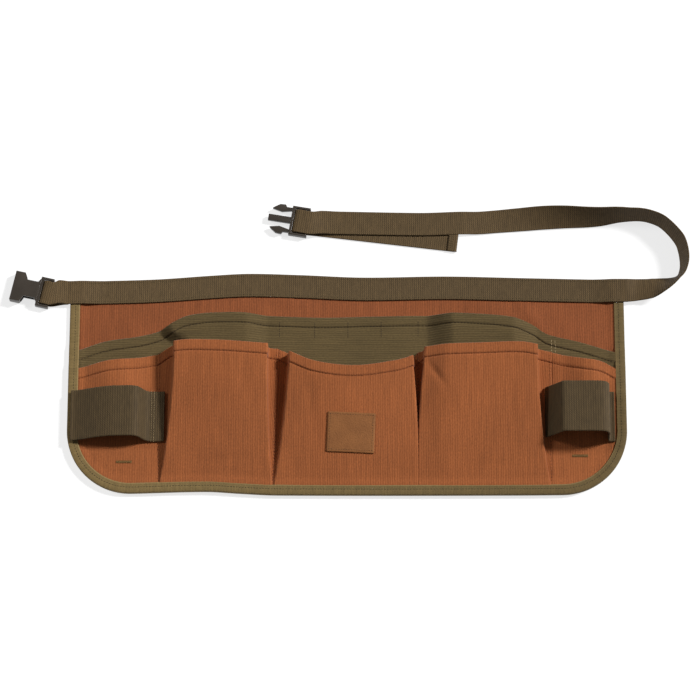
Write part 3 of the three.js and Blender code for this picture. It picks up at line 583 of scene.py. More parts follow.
# %% [markdown]
# A hem is the cloth's top edge turned back and sewn down. It is twice as thick, and the row of
# stitches pulls a small groove along its lower side. The rows of the grid are close together
# there, so that the groove has points of its own.

# %% Helper for hems
HEM_WIDTH = 11
HEM_FOLD = 0.9
HEM_END = 1.5
GROOVE_DEPTH = 0.5
GROOVE_WIDTH = 1.1
HEM_STEPS = [0, 0.3, 0.8, 1.8, 4, 6.5, 8.6, 9.6, 10.2, 10.7, 11, 11.3, 11.8, 12.4, 13.4, 15.5]


def rows_for(depth, count):
    """Shares of a panel's depth from its bottom, 0, to its top, 1, close together round the hem."""
    from_top = HEM_STEPS + list(np.linspace(HEM_STEPS[-1], depth, count + 1)[1:])
    return 1 - np.array(from_top[::-1]) / depth


def run_from_top(points):
    steps = np.linalg.norm(np.diff(points[::-1], axis=0), axis=-1)
    return np.concatenate([np.zeros((1, points.shape[1])), np.cumsum(steps, axis=0)])[::-1]


def hem_thickness(points, width=HEM_WIDTH):
    run = run_from_top(points)
    groove = np.exp(-((run - width) / GROOVE_WIDTH) ** 2)
    fold = smooth((width + HEM_END / 3 - run) / HEM_END)
    return CANVAS + HEM_FOLD * fold - GROOVE_DEPTH * groove


def line_below(outer, depth):
    """A line on the cloth at a depth below its top edge, with the normal at each point."""
    run, points, normals = run_from_top(outer)[::-1], outer[::-1], facing(outer)[::-1]

    def read(values):
        return np.array([[np.interp(depth, run[:, column], values[:, column, k]) for k in range(3)]
                         for column in range(outer.shape[1])])

    return read(points), unit(read(normals))


def column_line(outer, column, skip_top=0.0, skip_bottom=0.0):
    """A line up one column of the cloth."""
    run = run_from_top(outer)[:, column]
    keep = (run >= skip_top) & (run <= run[0] - skip_bottom)
    return outer[keep, column], facing(outer)[keep, column]


# %% [markdown]
# The back panel is one flat layer of duck. Most of it is covered, and what shows is the band under
# the belt and the whole of its back. A cloth simulation could drape it, but cloth that lies flat
# hardly moves, so a plain grid with rounded corners and a few small folds is enough.

# %% Back panel
BACK_COLUMNS = 180
BACK_ROWS = 60
FOLDS = dict(
    front=dict(
        x=[93.5, -128, -105, -108, 60, -38, 150, 172, -240],
        y=[9, -82, -98, 3, -97, -18, -88, -30, -94],
        turn=[-55, 6, -20, 80, -25, 96, 4, 85, 24],
        long=[15, 26, 16, 14, 14, 30, 30, 34, 15],
        wide=[3.5, 5, 4, 5, 4, 8, 6, 7, 5],
        high=[-1.6, -0.9, -0.7, -0.8, -0.8, -0.9, -0.8, -0.7, -0.5]),
    back=dict(
        x=[197, -150, -228, -60],
        y=[72, 76, 62, 92],
        turn=[-55, 18, -70, -12],
        long=[22, 25, 14, 20],
        wide=[6, 5, 6, 4],
        high=[1.2, 0.9, 0.7, 0.7]),
)


def folds(name, x, y):
    """Height that the small folds of a layer add."""
    total = np.zeros_like(x)
    for fold_x, fold_y, turn, long, wide, high in zip(*FOLDS[name].values()):
        across, up = x - fold_x, y - fold_y
        along = across * math.cos(turn * TURN) + up * math.sin(turn * TURN)
        beside = up * math.cos(turn * TURN) - across * math.sin(turn * TURN)
        total += high * np.exp(-((along / long) ** 2) - (beside / wide) ** 2)
    return total


def body_grid(across, top, shares):
    """x and y over a panel whose bottom follows the body's outline."""
    low, high = bottom_at(across), top(across)
    return np.broadcast_to(across, (len(shares), len(across))), low + (high - low) * shares[:, None]


across = np.linspace(-PANEL_EDGE, PANEL_EDGE, BACK_COLUMNS)
panel_x, panel_y = body_grid(
    across, lambda x: belt_centre(x) + UNDER_BELT, np.linspace(0, 1, BACK_ROWS))
height = layer(BACK_LAYER, panel_x, panel_y) + folds("back", panel_x, panel_y)
under = np.stack([panel_x, panel_y, height], -1)
# Its cloth is the darker copy of the brown duck: painted shade.
back_panel, _ = cloth(
    "back_panel_cloth", under, CANVAS, np.stack([panel_x, panel_y], -1), shaded_duck)
finish_piece(back_panel, "duck_canvas", "back_panel")

# %% [markdown]
# The olive layer makes two wide flat pockets behind the pouches. Where it isn't sewn down it stands
# a little off the back panel, and it drops into a valley between the two pockets. Each pocket is a
# rise with a slope at either side, so a formula over the grid gives it, and no sculpting is needed.

# %% Inner pocket panel
INNER_POCKETS = dict(
    start=[-0.675, 0.287], low_start=[-0.61, 0.287], stop=[-0.285, 0.685],
    puff=[9, 15], left_slope=[14, 28], right_slope=[24, 26],
)
SHIFT_LEVELS = (0.36, 0.51)
PUFF_LEVELS = (-0.3, 0.55)
INNER_HEM = 10.5
INNER_DEPTH = 1.6 * HALF_HEIGHT
INNER_COLUMNS = 300
INNER_ROWS = 34


def inner_puff(x, y):
    level = y / HALF_HEIGHT
    puff = np.zeros_like(x)
    for start, low_start, stop, high, left_slope, right_slope in zip(*INNER_POCKETS.values()):
        start = lerp(low_start, start, eased(level, *SHIFT_LEVELS))
        from_left = (x - start * HALF_WIDTH) / left_slope
        from_right = (stop * HALF_WIDTH - x) / right_slope
        puff += high * ramp(np.minimum(from_left, from_right)) * eased(level, *PUFF_LEVELS)
    return puff


across = np.linspace(-PANEL_EDGE, PANEL_EDGE, INNER_COLUMNS)
shares = rows_for(INNER_DEPTH, INNER_ROWS)
panel_x, panel_y = body_grid(across, lambda x: line_at(INNER_TOP, x), shares)
height = layer(INNER_LAYER, panel_x, panel_y) + inner_puff(panel_x, panel_y)
under = np.stack([panel_x, panel_y, height], -1)
inner_panel, inner_outer = cloth(
    "inner_pocket_cloth", under, hem_thickness(under, INNER_HEM),
    np.stack([panel_x, panel_y], -1), olive_duck)
finish_piece(inner_panel, "lining_canvas", "inner_pocket_panel")

# %% [markdown]
# At each end the brown front layer is a flat pocket, sewn down all round and open at its slanted
# mouth. It stands only a few millimetres open, and where it is almost flat its folds are shallow.

# %% Side pockets
SIDE_PUFF = 7
SIDES = dict(
    left_side_pocket=dict(u=[0, 0.4, 0.72, 1], y=[0.13, 0.203, 0.236, 0.274]),
    right_side_pocket=dict(u=[0, 0.42, 0.72, 1], y=[0.296, 0.23, 0.196, 0.095]),
)
SIDE_COLUMNS = 70
SIDE_ROWS = 40
SIDE_DEPTH = 130
SIDE_STEEP = 2.6
SIDE_START = 0.25
SIDE_LEVELS = (0.3, 0.9)
DENT_LIMIT = 0.8


def side_edges(name, y):
    if name == "left_side_pocket":
        return -PANEL_EDGE, seam_at(0, y) - GAP / 2
    return seam_at(3, y) + GAP / 2, PANEL_EDGE


def side_mouth(name, x):
    left, right = side_edges(name, 0)
    return HALF_HEIGHT * curve(SIDES[name]["u"], SIDES[name]["y"], (x - left) / (right - left))


def side_pocket(name):
    left, right = side_edges(name, 0)
    share = np.linspace(0, 1, SIDE_COLUMNS)
    shares = rows_for(SIDE_DEPTH, SIDE_ROWS)
    _, y = body_grid(lerp(left, right, share), lambda x: side_mouth(name, x), shares)
    left, right = side_edges(name, y)
    x = lerp(left, right, share)
    sides = smooth(SIDE_STEEP * np.minimum(share, 1 - share) - SIDE_START)
    puff = SIDE_PUFF * sides * eased(shares[:, None], *SIDE_LEVELS)
    dent = np.maximum(folds("front", x, y), -DENT_LIMIT * puff)
    places = np.stack([x, y], -1)
    under = np.stack([x, y, layer(FRONT_LAYER, x, y) + puff + dent], -1)
    made, outer = cloth(f"{name}_cloth", under, hem_thickness(under), places, brown_duck)
    finish_piece(made, "duck_canvas", name)
    return outer


side_outers = {name: side_pocket(name) for name in SIDES}

# %% [markdown]
# A nail pouch is a face of duck with a pleat down each side, so that it stands open at the mouth
# and lies flat at its bottom seam. Its shape is a row of folds: up the left pleat, over the face
# and down the right pleat. The row is swept from the bottom seam to the mouth while it rises. A
# pleat with a taper is pressed flat further up, so that the gap beside it closes sooner.

# %% Pouches
POUCH_HEIGHT = 19
PLEAT_DEPTH = 16
POUCHES = dict(
    left_pouch=dict(
        seam=0, height=1, crown=0.05, drop=0,
        left_pleat=1.06, right_pleat=0.66, left_taper=0, right_taper=0,
        mouth=dict(u=[0, 0.13, 0.45, 0.9, 1], y=[0.274, 0.356, 0.367, 0.338, 0.33])),
    centre_pouch=dict(
        seam=1, height=0.74, crown=0.16, drop=0.14,
        left_pleat=0.69, right_pleat=0.36, left_taper=0, right_taper=1.8,
        mouth=dict(u=[0, 0.075, 0.27, 0.55, 0.83, 0.955, 1],
                   y=[0.33, 0.29, 0.184, 0.14, 0.187, 0.237, 0.292])),
    right_pouch=dict(
        seam=2, height=1, crown=0.05, drop=0.3,
        left_pleat=0.44, right_pleat=0.95, left_taper=1.8, right_taper=0,
        mouth=dict(u=[0, 0.07, 0.5, 0.77, 0.9, 1], y=[0.292, 0.32, 0.341, 0.35, 0.325, 0.3])),
)
POUCH_SECTIONS = dict(
    v=[0, 0.08, 0.2, 0.4, 0.7, 0.9, 1],
    rise=[0, 0.1, 0.26, 0.52, 0.84, 0.97, 1],
    pleat=[0.05, 0.14, 0.34, 0.6, 0.86, 0.97, 1],
)
PLEAT_FOLD = dict(
    step=[0, 0.2, 0.4, 0.6, 0.8, 1],
    out=[0, 0.5, 0.95, 1.14, 1.17, 1.12],
    up=[0, 0.02, 0.08, 0.36, 0.75, 1],
)
SHOULDER = 0.22
FACE_FROM = 0.6
FACE_EASE = 4
POUCH_ROWS = 60
PLEAT_STEPS = np.linspace(0, 1, 22)
FACE_STEPS = np.linspace(0, 1, 90)[1:-1]


def pouch_height(pouch, v):
    return POUCH_HEIGHT * pouch["height"] * curve(POUCH_SECTIONS["v"], POUCH_SECTIONS["rise"], v)


def crown(pouch, s):
    """A face is a little round, and its left side may hang lower."""
    return 1 + pouch["crown"] * 4 * s * (1 - s) - pouch["drop"] * (1 - smooth(s / SHOULDER))


def pleat_width(pouch, hand, v):
    """Width of one pleat at a level. A taper closes its lower part."""
    share = curve(POUCH_SECTIONS["v"], POUCH_SECTIONS["pleat"], v)
    taper = np.clip(v, 0, 1) ** pouch[hand + "_taper"]
    return PLEAT_DEPTH * pouch[hand + "_pleat"] * share * taper


def pouch_row(pouch, v):
    """x and height of the folds at one level, from the left seam to the right one."""
    y = HALF_HEIGHT * lerp(-1, MOUTH_LEVEL, v)
    left = seam_at(pouch["seam"], y) + GAP / 2
    right = seam_at(pouch["seam"] + 1, y) - GAP / 2
    out = curve(PLEAT_FOLD["step"], PLEAT_FOLD["out"], PLEAT_STEPS)
    high = pouch_height(pouch, v)
    up = high * curve(PLEAT_FOLD["step"], PLEAT_FOLD["up"], PLEAT_STEPS)
    left_x = left + out * pleat_width(pouch, "left", v)
    right_x = right - out * pleat_width(pouch, "right", v)
    face_x = lerp(left_x[-1], right_x[-1], FACE_STEPS)
    x = np.concatenate([left_x, face_x, right_x[::-1]])
    z = np.concatenate([up * (1 - pouch["drop"]), high * crown(pouch, FACE_STEPS), up[::-1]])
    return x, z


def pouch_mouth(pouch, x):
    left, right = seam_at(pouch["seam"], 0), seam_at(pouch["seam"] + 1, 0)
    share = (x - left) / (right - left)
    return HALF_HEIGHT * curve(pouch["mouth"]["u"], pouch["mouth"]["y"], share)


def pouch_grid(pouch):
    shares = rows_for(HALF_HEIGHT * (1 + MOUTH_LEVEL), POUCH_ROWS)
    mouth = pouch_mouth(pouch, pouch_row(pouch, 1.0)[0])
    rows = []
    for v in shares:
        x, z = pouch_row(pouch, v)
        y = lerp(bottom_at(x), mouth, v)
        on_face = smooth((z - pouch_height(pouch, v) * FACE_FROM) / FACE_EASE)
        height = layer(FRONT_LAYER, x, y) + z + folds("front", x, y) * on_face
        rows.append(np.stack([x, y, height], -1))
    return np.array(rows)


def cloth_places(under):
    """Places on the flat cloth: sideways from the middle of each row, upwards as the apron goes."""
    steps = np.hypot(np.diff(under[..., 0]), np.diff(under[..., 2]))
    run = np.concatenate([np.zeros((len(under), 1)), np.cumsum(steps, axis=1)], axis=1)
    middle = under.shape[1] // 2
    sideways = run - run[:, middle:middle + 1] + under[:, middle:middle + 1, 0]
    return np.stack([sideways, under[..., 1]], -1)


pouch_outers = {}
for name, pouch in POUCHES.items():
    under = pouch_grid(pouch)
    made, pouch_outers[name] = cloth(
        f"{name}_cloth", under, hem_thickness(under), cloth_places(under), brown_duck)
    finish_piece(made, "duck_canvas", name)

# %% [markdown]
# The raw edges of all the layers are closed by a tape folded round them. Its section is a channel
# with round folds. Its front leg lies on however many layers end there, so the channel's height
# follows the stack.

# %% Edge binding
SIDE_STEPS = 70
TAPE_BULGE = 0.15
TAPE_FOLD = 0.8
FOLD_CUT = 0.25
STEP_START = 1
BEND_STEPS = 36
BOTTOM_STEPS = 190


def stack_top(x, y):
    inside = np.sign(x) * (HALF_WIDTH - TAPE_WIDTH - GAP)
    front = side_mouth("left_side_pocket" if x < 0 else "right_side_pocket", inside)
    count = 1
    for edge in (front, line_at(INNER_TOP, inside)):
        count += 1 - smooth((y - edge - STEP_START) / TAPE_EASE)
    return INSET + count * (CANVAS + GAP) + TAPE


def binding_path():
    """Points on the outer edge with the way in, from the left top round to the right top."""
    straight = HALF_WIDTH - CORNER_RADIUS
    low = line_at(BOTTOM_LINE, HALF_WIDTH) + CORNER_RADIUS
    top = belt_centre(HALF_WIDTH) + UNDER_BELT
    half = [(HALF_WIDTH, y, -1, 0) for y in np.linspace(top, low, SIDE_STEPS)]
    for angle in np.linspace(0, 90, BEND_STEPS + 1)[1:-1] * TURN:
        x = straight + CORNER_RADIUS * math.cos(angle)
        y = line_at(BOTTOM_LINE, x) + CORNER_RADIUS * (1 - math.sin(angle))
        half.append((x, y, -math.cos(angle), math.sin(angle)))
    left = []
    for x, y, in_x, in_y in half:
        shift = line_at(BOTTOM_LINE, -x) - line_at(BOTTOM_LINE, x)
        left.append((-x, y + shift, -in_x, in_y))
    bottom_x = np.linspace(-straight, straight, BOTTOM_STEPS)
    bottom = [(x, line_at(BOTTOM_LINE, x), 0, 1) for x in bottom_x]
    return np.array(left + bottom + half[::-1])


def binding_section(high):
    """Depth from the edge, height, and place across the tape."""
    inside, edge = high - TAPE, TAPE_WIDTH
    return np.array([
        (edge, 0, -edge), (TAPE_FOLD, 0, -TAPE_FOLD), (FOLD_CUT, FOLD_CUT, -0.3), (0, TAPE_FOLD, 0),
        (0, high - TAPE_FOLD, 0), (FOLD_CUT, high - FOLD_CUT, 0.3), (TAPE_FOLD, high, TAPE_FOLD),
        (edge / 2, high + TAPE_BULGE, edge / 2), (edge - 2.6, high - 0.1, edge - 2.6),
        (edge - 1.6, high + 0.1, edge - 1.6), (edge - 0.5, high + 0.05, edge - 0.5),
        (edge, high - 0.4, edge), (edge - 0.1, inside, edge), (TAPE + 0.2, inside, TAPE),
        (TAPE, inside - 0.2, TAPE), (TAPE, TAPE + 0.2, -TAPE), (TAPE + 0.2, TAPE, -TAPE),
        (edge, TAPE, -edge),
    ])


def sweep(sections, places, name, material):
    """A closed bar through sections of equally many corners."""
    count, sides = sections.shape[:2]
    index = np.arange(count * sides).reshape(count, sides)
    ring = np.concatenate([index, index[:, :1]], axis=1)
    faces = quads(ring)[:, ::-1].tolist()
    faces.append(index[0].tolist())
    faces.append(index[-1][::-1].tolist())
    made = piece_from(name, sections.reshape(-1, 3), faces, places.reshape(-1, 2), material)
    print(name, len(faces), "faces")
    return made


path = binding_path()
sections, places = [], []
along = 0
for k, (x, y, in_x, in_y) in enumerate(path):
    along += math.dist(path[k][:2], path[max(k - 1, 0)][:2])
    section = binding_section(stack_top(x, y))
    sections.append([(x + in_x * d, y + in_y * d, z) for d, z, _ in section])
    places.append([(u, along) for _, _, u in section])
binding = sweep(np.array(sections), np.array(places), "edge_binding_tape", olive_tape)
finish_piece(binding, "binding_tape", "edge_binding")
print("binding", round(along), "mm long")

# %% [markdown]
# Belt and loops are one kind of webbing. It is swept along a smooth line through a few stations,
# and its two faces rise and fall with every rib. The ribs are in the mesh, because a bend shows
# them against the light. The outermost millimetre on each side is a plain woven edge. A curve with
# a bevel would be quicker, but a band made so twists where it turns steeply, and here each station
# says which way its width points.

# %% Helper for webbing
RIB_HEIGHT = 0.09
RIBBON_STEP = 0.55
WEB_PROFILE = dict(
    side=[-1, -0.985, -0.94, -0.88, -0.5, 0, 0.5, 0.88, 0.94, 0.985, 1],
    high=[0.35, 0.8, 1, 0.94, 0.98, 1, 0.98, 0.94, 1, 0.8, 0.35],
    rib=[0, 0, 0.2, 1, 1, 1, 1, 1, 0.2, 0, 0],
)


def ribbon(name, centres, sides, width, thickness, rib_pitch, material):
    """Webbing through stations, each a centre and the direction of its width."""
    centres, sides = np.array(centres, float), np.array(sides, float)
    chord = np.concatenate([[0], np.cumsum(np.linalg.norm(np.diff(centres, axis=0), axis=1))])
    at = np.arange(0, chord[-1], RIBBON_STEP)
    centre = np.stack([curve(chord, centres[:, k], at) for k in range(3)], -1)
    side = unit(np.stack([np.interp(at, chord, sides[:, k]) for k in range(3)], -1))
    tangent = unit(np.gradient(centre, axis=0))
    normal = unit(np.cross(side, tangent))
    run = np.concatenate([[0], np.cumsum(np.linalg.norm(np.diff(centre, axis=0), axis=1))])
    wave = RIB_HEIGHT * np.cos(2 * math.pi * run / rib_pitch)
    offset = np.array(WEB_PROFILE["side"]) * width / 2
    high = np.array(WEB_PROFILE["high"]) * thickness / 2
    lift = high + np.outer(wave - RIB_HEIGHT, WEB_PROFILE["rib"])
    face = centre[:, None] + side[:, None] * offset[None, :, None]
    upper = face + normal[:, None] * lift[..., None]
    lower = face - normal[:, None] * lift[..., None]
    sections = np.concatenate([upper, lower[:, ::-1]], axis=1)
    across = np.concatenate([offset, offset[::-1]])
    places = np.stack(np.broadcast_arrays(across[None], run[:, None]), -1)
    return sweep(sections, places, name, material), face, normal


# %% [markdown]
# The hammer loops are wide webbing, sewn down at both ends and standing up between. The left one is
# a low wave that sags towards the pouch. The right one is a tall arch with steep legs. Skew moves
# the top of a loop up the apron, and lead moves its left foot.

# %% Hammer loops
LOOP_WIDTH = 54
LOOP_WEBBING = 1.8
LOOP_LEG = 0.22
LEFT_LOOP_INSET = 3.5
LEFT_LOOP_REACH = 7.5
RIGHT_LOOP_REACH = 6.5
LOOP_MIDDLE = -0.295 * HALF_HEIGHT
FRONT_SEAT = (FRONT_LAYER + 1) * (CANVAS + GAP)
LOOPS = dict(
    left_hammer_loop=dict(
        rise=16, skew=2.7, lead=0,
        along=[0, 0.05, 0.14, 0.28, 0.42, 0.56, 0.66, 0.71, 0.75, 0.79, 0.83, 0.88, 0.94, 1],
        up=[0.14, 0.15, 0.34, 0.7, 0.94, 1, 1, 0.9, 0.62, 0.28, 0.1, 0.05, 0.05, 0.1]),
    right_hammer_loop=dict(
        rise=26, skew=5, lead=4.5,
        along=[0, 0.012, 0.06, 0.2, 0.23, 0.27, 0.42, 0.62, 0.82, 0.889, 0.897, 0.902, 0.937, 1],
        up=[0.03, 0.07, 0.24, 0.88, 0.97, 1, 1, 1, 0.95, 0.78, 0.4, 0.07, 0, 0]),
)


def tape_inner(y):
    """Inner edge of the tape at the right side, where the corner may already draw it in."""
    down = max(line_at(BOTTOM_LINE, HALF_WIDTH) + CORNER_RADIUS - y, 0)
    return HALF_WIDTH - CORNER_RADIUS + math.sqrt((CORNER_RADIUS - TAPE_WIDTH) ** 2 - down**2)


def hammer_loop(name, start, stop, foot):
    table = LOOPS[name]
    along, up = np.array(table["along"]), np.array(table["up"])
    middle = LOOP_MIDDLE + up * table["skew"] + table["lead"] * (1 - smooth(along / LOOP_LEG))
    height = np.array([foot(t) for t in along]) + LOOP_WEBBING / 2 + up * table["rise"]
    centres = np.stack([lerp(start, stop, along), middle, height], -1)
    made, face, normal = ribbon(
        f"{name}_webbing", centres, [(0, -1, 0)] * len(centres),
        LOOP_WIDTH, LOOP_WEBBING, LOOP_RIB, loop_webbing)
    finish_piece(made, "webbing", name)
    return face + normal[:, None] * LOOP_WEBBING / 2


left_loop_face = hammer_loop(
    "left_hammer_loop", -HALF_WIDTH + LEFT_LOOP_INSET, seam_at(0, LOOP_MIDDLE) + LEFT_LOOP_REACH,
    lambda t: lerp(INSET + FRONT_SEAT + TAPE + GAP, FRONT_SEAT, smooth(t * 2)))
hammer_loop(
    "right_hammer_loop", seam_at(3, LOOP_MIDDLE) - RIGHT_LOOP_REACH,
    tape_inner(LOOP_MIDDLE - LOOP_WIDTH / 2) - GAP,
    lambda t: lerp(FRONT_SEAT, FRONT_SEAT + INSET, smooth(t * 2 - 1)))

# %% [markdown]
# The belt is one length of webbing: round the bar of the socket half, along the top of the apron,
# then loose. Beyond the apron it stands up on its edge, turns back over itself and lies down again
# towards the plug half. After the turn round the plug's bar, its tail lies under the strap. Slack
# is how much wider than the bar a turn is, because stiff webbing never hugs a bar.

# %% Belt
BEND_REACH = 61
STRAP_RISE = 48
STRAP_RUN = 352
TAIL_LENGTH = 166
TAIL_ANGLE = -6.9
SOCKET_ANGLE = -12.5
PLUG_ANGLE = -9.5
PLUG_INSET = 11.5
PLUG_LEVEL = 1.064
PLUG_SLACK = 2.6
SOCKET_SLACK = 2.4
BAR = 5.6
BAR_THICK = 3.3
BAR_GAP_UNDER = 0.7
BAR_GAP_OVER = 0.4
TURN_START = 2
TURN_INSET = 0.8
TURN_STEPS = 10
SOCKET_RUN = BAR / 2 + 0.5
PLUG_RUN = 1.9 * BAR
HIDDEN_END = dict(out=[2, 8], down=[0, 0.3], sink=[0, 0.5])
LEFT_EDGE = dict(out=[12, 3, -2], up=[0.6, 0, 0], lift=[1.2, 0, 0])
RIGHT_EDGE = (-2, 3)
BELT_STATIONS = 53
PAST_TAPE = 1.5
BELT_EASE = 2.5 * TAPE_EASE
TAIL_SHARES = (0.12, 0.4, 0.7, 0.92, 1)
BELT_SEAT = INSET + CANVAS + GAP
STRAP_EDGE = belt_centre(HALF_WIDTH) + BELT_WIDTH / 2
SOCKET_AT = (-HALF_WIDTH - 23, belt_centre(-HALF_WIDTH) - 1)
PLUG_AT = (
    HALF_WIDTH - STRAP_RUN + PLUG_INSET,
    STRAP_EDGE + STRAP_RISE * PLUG_LEVEL + BELT_WIDTH / 2,
)
UNDER = WEBBING / 2
OVER = WEBBING + BAR_GAP_UNDER + BAR_THICK + BAR_GAP_OVER + UNDER
BEND = dict(
    out=[0.25, 0.5, 0.72, 0.83, 0.91, 0.953, 0.98, 1.0, 1.0, 0.977, 0.936, 0.8, 0.644, 0.454,
         0.3, 0.144],
    up=[0.02, 0.03, 0.035, 0.045, 0.065, 0.1, 0.175, 0.3, 0.45, 0.656, 0.825, 1.067, 1.25, 1.35,
        1.381, 1.375],
    roll=[10, 21, 46, 60, 72, 76, 76, 75, 74, 74, 75, 77, 78, 78, 77, 75],
)
RETURN_RUN = dict(
    along=[0.011, 0.0585, 0.104, 0.172, 0.237, 0.3, 0.372, 0.431, 0.485, 0.587, 0.67, 0.795,
           0.86, 0.905],
    up=[1.342, 1.265, 1.227, 1.204, 1.171, 1.135, 1.097, 1.06, 1.05, 1.022, 1.026, 1.044,
        1.052, 1.057],
    roll=[68, 57, 49, 36, 20, 7, 0, 0, 0, 0, 0, 0, 0, 0],
    lift=[0, 0, 0, 0, 0, 0, 0, 0.3, 1, 1, 1, 1, 1.2, 2],
)


def turn_round(place, angle, last, slack):
    """From under a buckle's bar to over it."""
    side = (math.sin(angle), -math.cos(angle), 0)
    along = np.array([math.cos(angle), math.sin(angle), 0])
    radius = (OVER - UNDER) / 2
    spots = [(BAR / 2 + TURN_START, UNDER)]
    for a in np.linspace(0, math.pi, TURN_STEPS + 1):
        back = BAR / 2 - TURN_INSET + (radius + slack) * math.sin(a)
        spots.append((-back, UNDER + radius * (1 - math.cos(a))))
    spots.append((last, OVER))
    return [(np.array([*place, z]) + along * s, side) for s, z in spots]


def waistband():
    side = (0, -1, 0)
    over_tape = BELT_SEAT + TAPE + GAP + UNDER
    on_cloth = BELT_SEAT - INSET + UNDER
    left, right = float(belt_centre(-HALF_WIDTH)), float(belt_centre(HALF_WIDTH))
    stations = [((-HALF_WIDTH - out, left + up, over_tape + lift), side)
                for out, up, lift in zip(*LEFT_EDGE.values())]
    reach = HALF_WIDTH - TAPE_WIDTH - PAST_TAPE
    for x in np.linspace(-reach, reach, BELT_STATIONS):
        down = smooth((reach - abs(x)) / BELT_EASE)
        stations.append(((x, float(belt_centre(x)), lerp(over_tape, on_cloth, down)), side))
    return stations + [((HALF_WIDTH + out, right, over_tape), side) for out in RIGHT_EDGE]


def loose_strap():
    """Stations from the edge that rests on the table, with the webbing rolled up on it."""
    x = [HALF_WIDTH + out * BEND_REACH for out in BEND["out"]]
    x += [HALF_WIDTH - share * STRAP_RUN for share in RETURN_RUN["along"]]
    y = STRAP_EDGE + STRAP_RISE * np.array(BEND["up"] + RETURN_RUN["up"])
    roll = np.array(BEND["roll"] + RETURN_RUN["roll"]) * TURN
    lift = np.array([0] * len(BEND["out"]) + RETURN_RUN["lift"]) * (WEBBING + GAP)
    stations = []
    for k in range(len(x)):
        before, after = max(k - 1, 0), min(k + 1, len(x) - 1)
        heading = math.atan2(y[after] - y[before], x[after] - x[before])
        level = math.cos(roll[k])
        side = np.array([math.sin(heading) * level, -math.cos(heading) * level, math.sin(roll[k])])
        edge = np.array([x[k], y[k], lift[k] + UNDER * level])
        stations.append((edge + side * BELT_WIDTH / 2, side))
    return stations


def tail():
    angle = TAIL_ANGLE * TURN
    side = (-math.sin(angle), math.cos(angle), 0)
    return [((PLUG_AT[0] + share * TAIL_LENGTH * math.cos(angle),
              PLUG_AT[1] + share * TAIL_LENGTH * math.sin(angle), UNDER), side)
            for share in TAIL_SHARES]


left_level, seat = float(belt_centre(-HALF_WIDTH)), BELT_SEAT + TAPE + UNDER - WEBBING
stations = [((-HALF_WIDTH - out, left_level - down, seat - sink), (0, -1, 0))
            for out, down, sink in zip(*HIDDEN_END.values())]
stations += turn_round(SOCKET_AT, SOCKET_ANGLE * TURN, SOCKET_RUN, SOCKET_SLACK)
stations += waistband() + loose_strap()
back_turn = turn_round(PLUG_AT, PLUG_ANGLE * TURN, PLUG_RUN, PLUG_SLACK)[::-1]
stations += [(centre, (-side[0], -side[1], 0)) for centre, side in back_turn]
stations += tail()
belt, belt_face, belt_normal = ribbon(
    "belt_webbing", [s[0] for s in stations], [s[1] for s in stations],
    BELT_WIDTH, WEBBING, BELT_RIB, olive_webbing)
finish_piece(belt, "webbing", "belt")
print("stations of the belt:", len(stations))

# %% [markdown]
# The tail's end is turned over once and sewn, so that it can't slip back out of the buckle. The
# turned flap is a short second layer on top.

# %% Folded end of the tail
FLAP_LENGTH = 8.5
FLAP_WEBBING = 1.3
FLAP_HEIGHT = WEBBING + FLAP_WEBBING / 2 + 0.05
FLAP_FOLD = dict(
    past=[0.9, 1.1, 0.5, -2, -FLAP_LENGTH],
    high=[UNDER, WEBBING, FLAP_HEIGHT, FLAP_HEIGHT, FLAP_HEIGHT],
)
tail_angle = TAIL_ANGLE * TURN
tail_along = np.array([math.cos(tail_angle), math.sin(tail_angle), 0])
tail_side = (-math.sin(tail_angle), math.cos(tail_angle), 0)
tail_end = np.array([*PLUG_AT, 0]) + tail_along * TAIL_LENGTH
flap_stations = [
    (tail_end + tail_along * past + np.array([0, 0, high]), tail_side)
    for past, high in zip(*FLAP_FOLD.values())
]
flap, _, _ = ribbon(
    "belt_end_fold", [s[0] for s in flap_stations], [s[1] for s in flap_stations],
    BELT_WIDTH, FLAP_WEBBING, BELT_RIB, olive_webbing)
finish_piece(flap, "webbing")

# %% [markdown]
# The buckle halves are moulded, so no edge on them is sharp. The solids have the right shape, and
# a bevelled copy of each gives the small round edges that catch the light. A solid's mesh is loose
# triangles, so it is welded and its flat faces are joined first: a bevel would otherwise round the
# lines between the triangles too.

# %% Buckle halves
EDGE_ROUND = 0.45
MERGE = 0.002
FLAT_ANGLE = 3
SHARP_ANGLE = 25


def moulded_copy(node):
    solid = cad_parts[node]
    mesh = solid.data.copy()
    mesh.materials.clear()
    mesh.materials.append(black_plastic)
    made = bpy.data.objects.new(f"{node}_moulding", mesh)
    scene.collection.objects.link(made)
    weld = made.modifiers.new("weld", "WELD")
    weld.merge_threshold = MERGE * MM
    flat = made.modifiers.new("flat", "DECIMATE")
    flat.decimate_type = "DISSOLVE"
    flat.angle_limit = FLAT_ANGLE * TURN
    bevel = made.modifiers.new("round", "BEVEL")
    bevel.width = EDGE_ROUND * MM
    bevel.segments = 3
    bevel.angle_limit = SHARP_ANGLE * TURN
    bevel.use_clamp_overlap = True
    bevel.harden_normals = False
    return plain_mesh(made)


def plain_mesh(made):
    """Applies the modifiers and takes them off."""
    seen = made.evaluated_get(bpy.context.evaluated_depsgraph_get())
    mesh = bpy.data.meshes.new_from_object(seen)
    made.modifiers.clear()
    made.data = mesh
    mesh.shade_smooth()
    return made


for node in ("female_buckle", "male_buckle"):
    moulding = moulded_copy(node)
    finish_piece(moulding, "buckle_plastic", node)
    print(moulding.name, len(moulding.data.polygons), "faces")

# %% [markdown]
# The label is a bare patch of leather sewn on the centre pouch. It could be a flat box, but the
# pouch's face is round, so it is a small grid laid on the same surface.

# %% Label patch
LABEL_WIDTH = 49
LABEL_HEIGHT = 41
LABEL_THICK = 1.2
LABEL_ANGLE = -2.5
LABEL_PLACE = (0.0144, -0.456)
LABEL_STEPS = 41


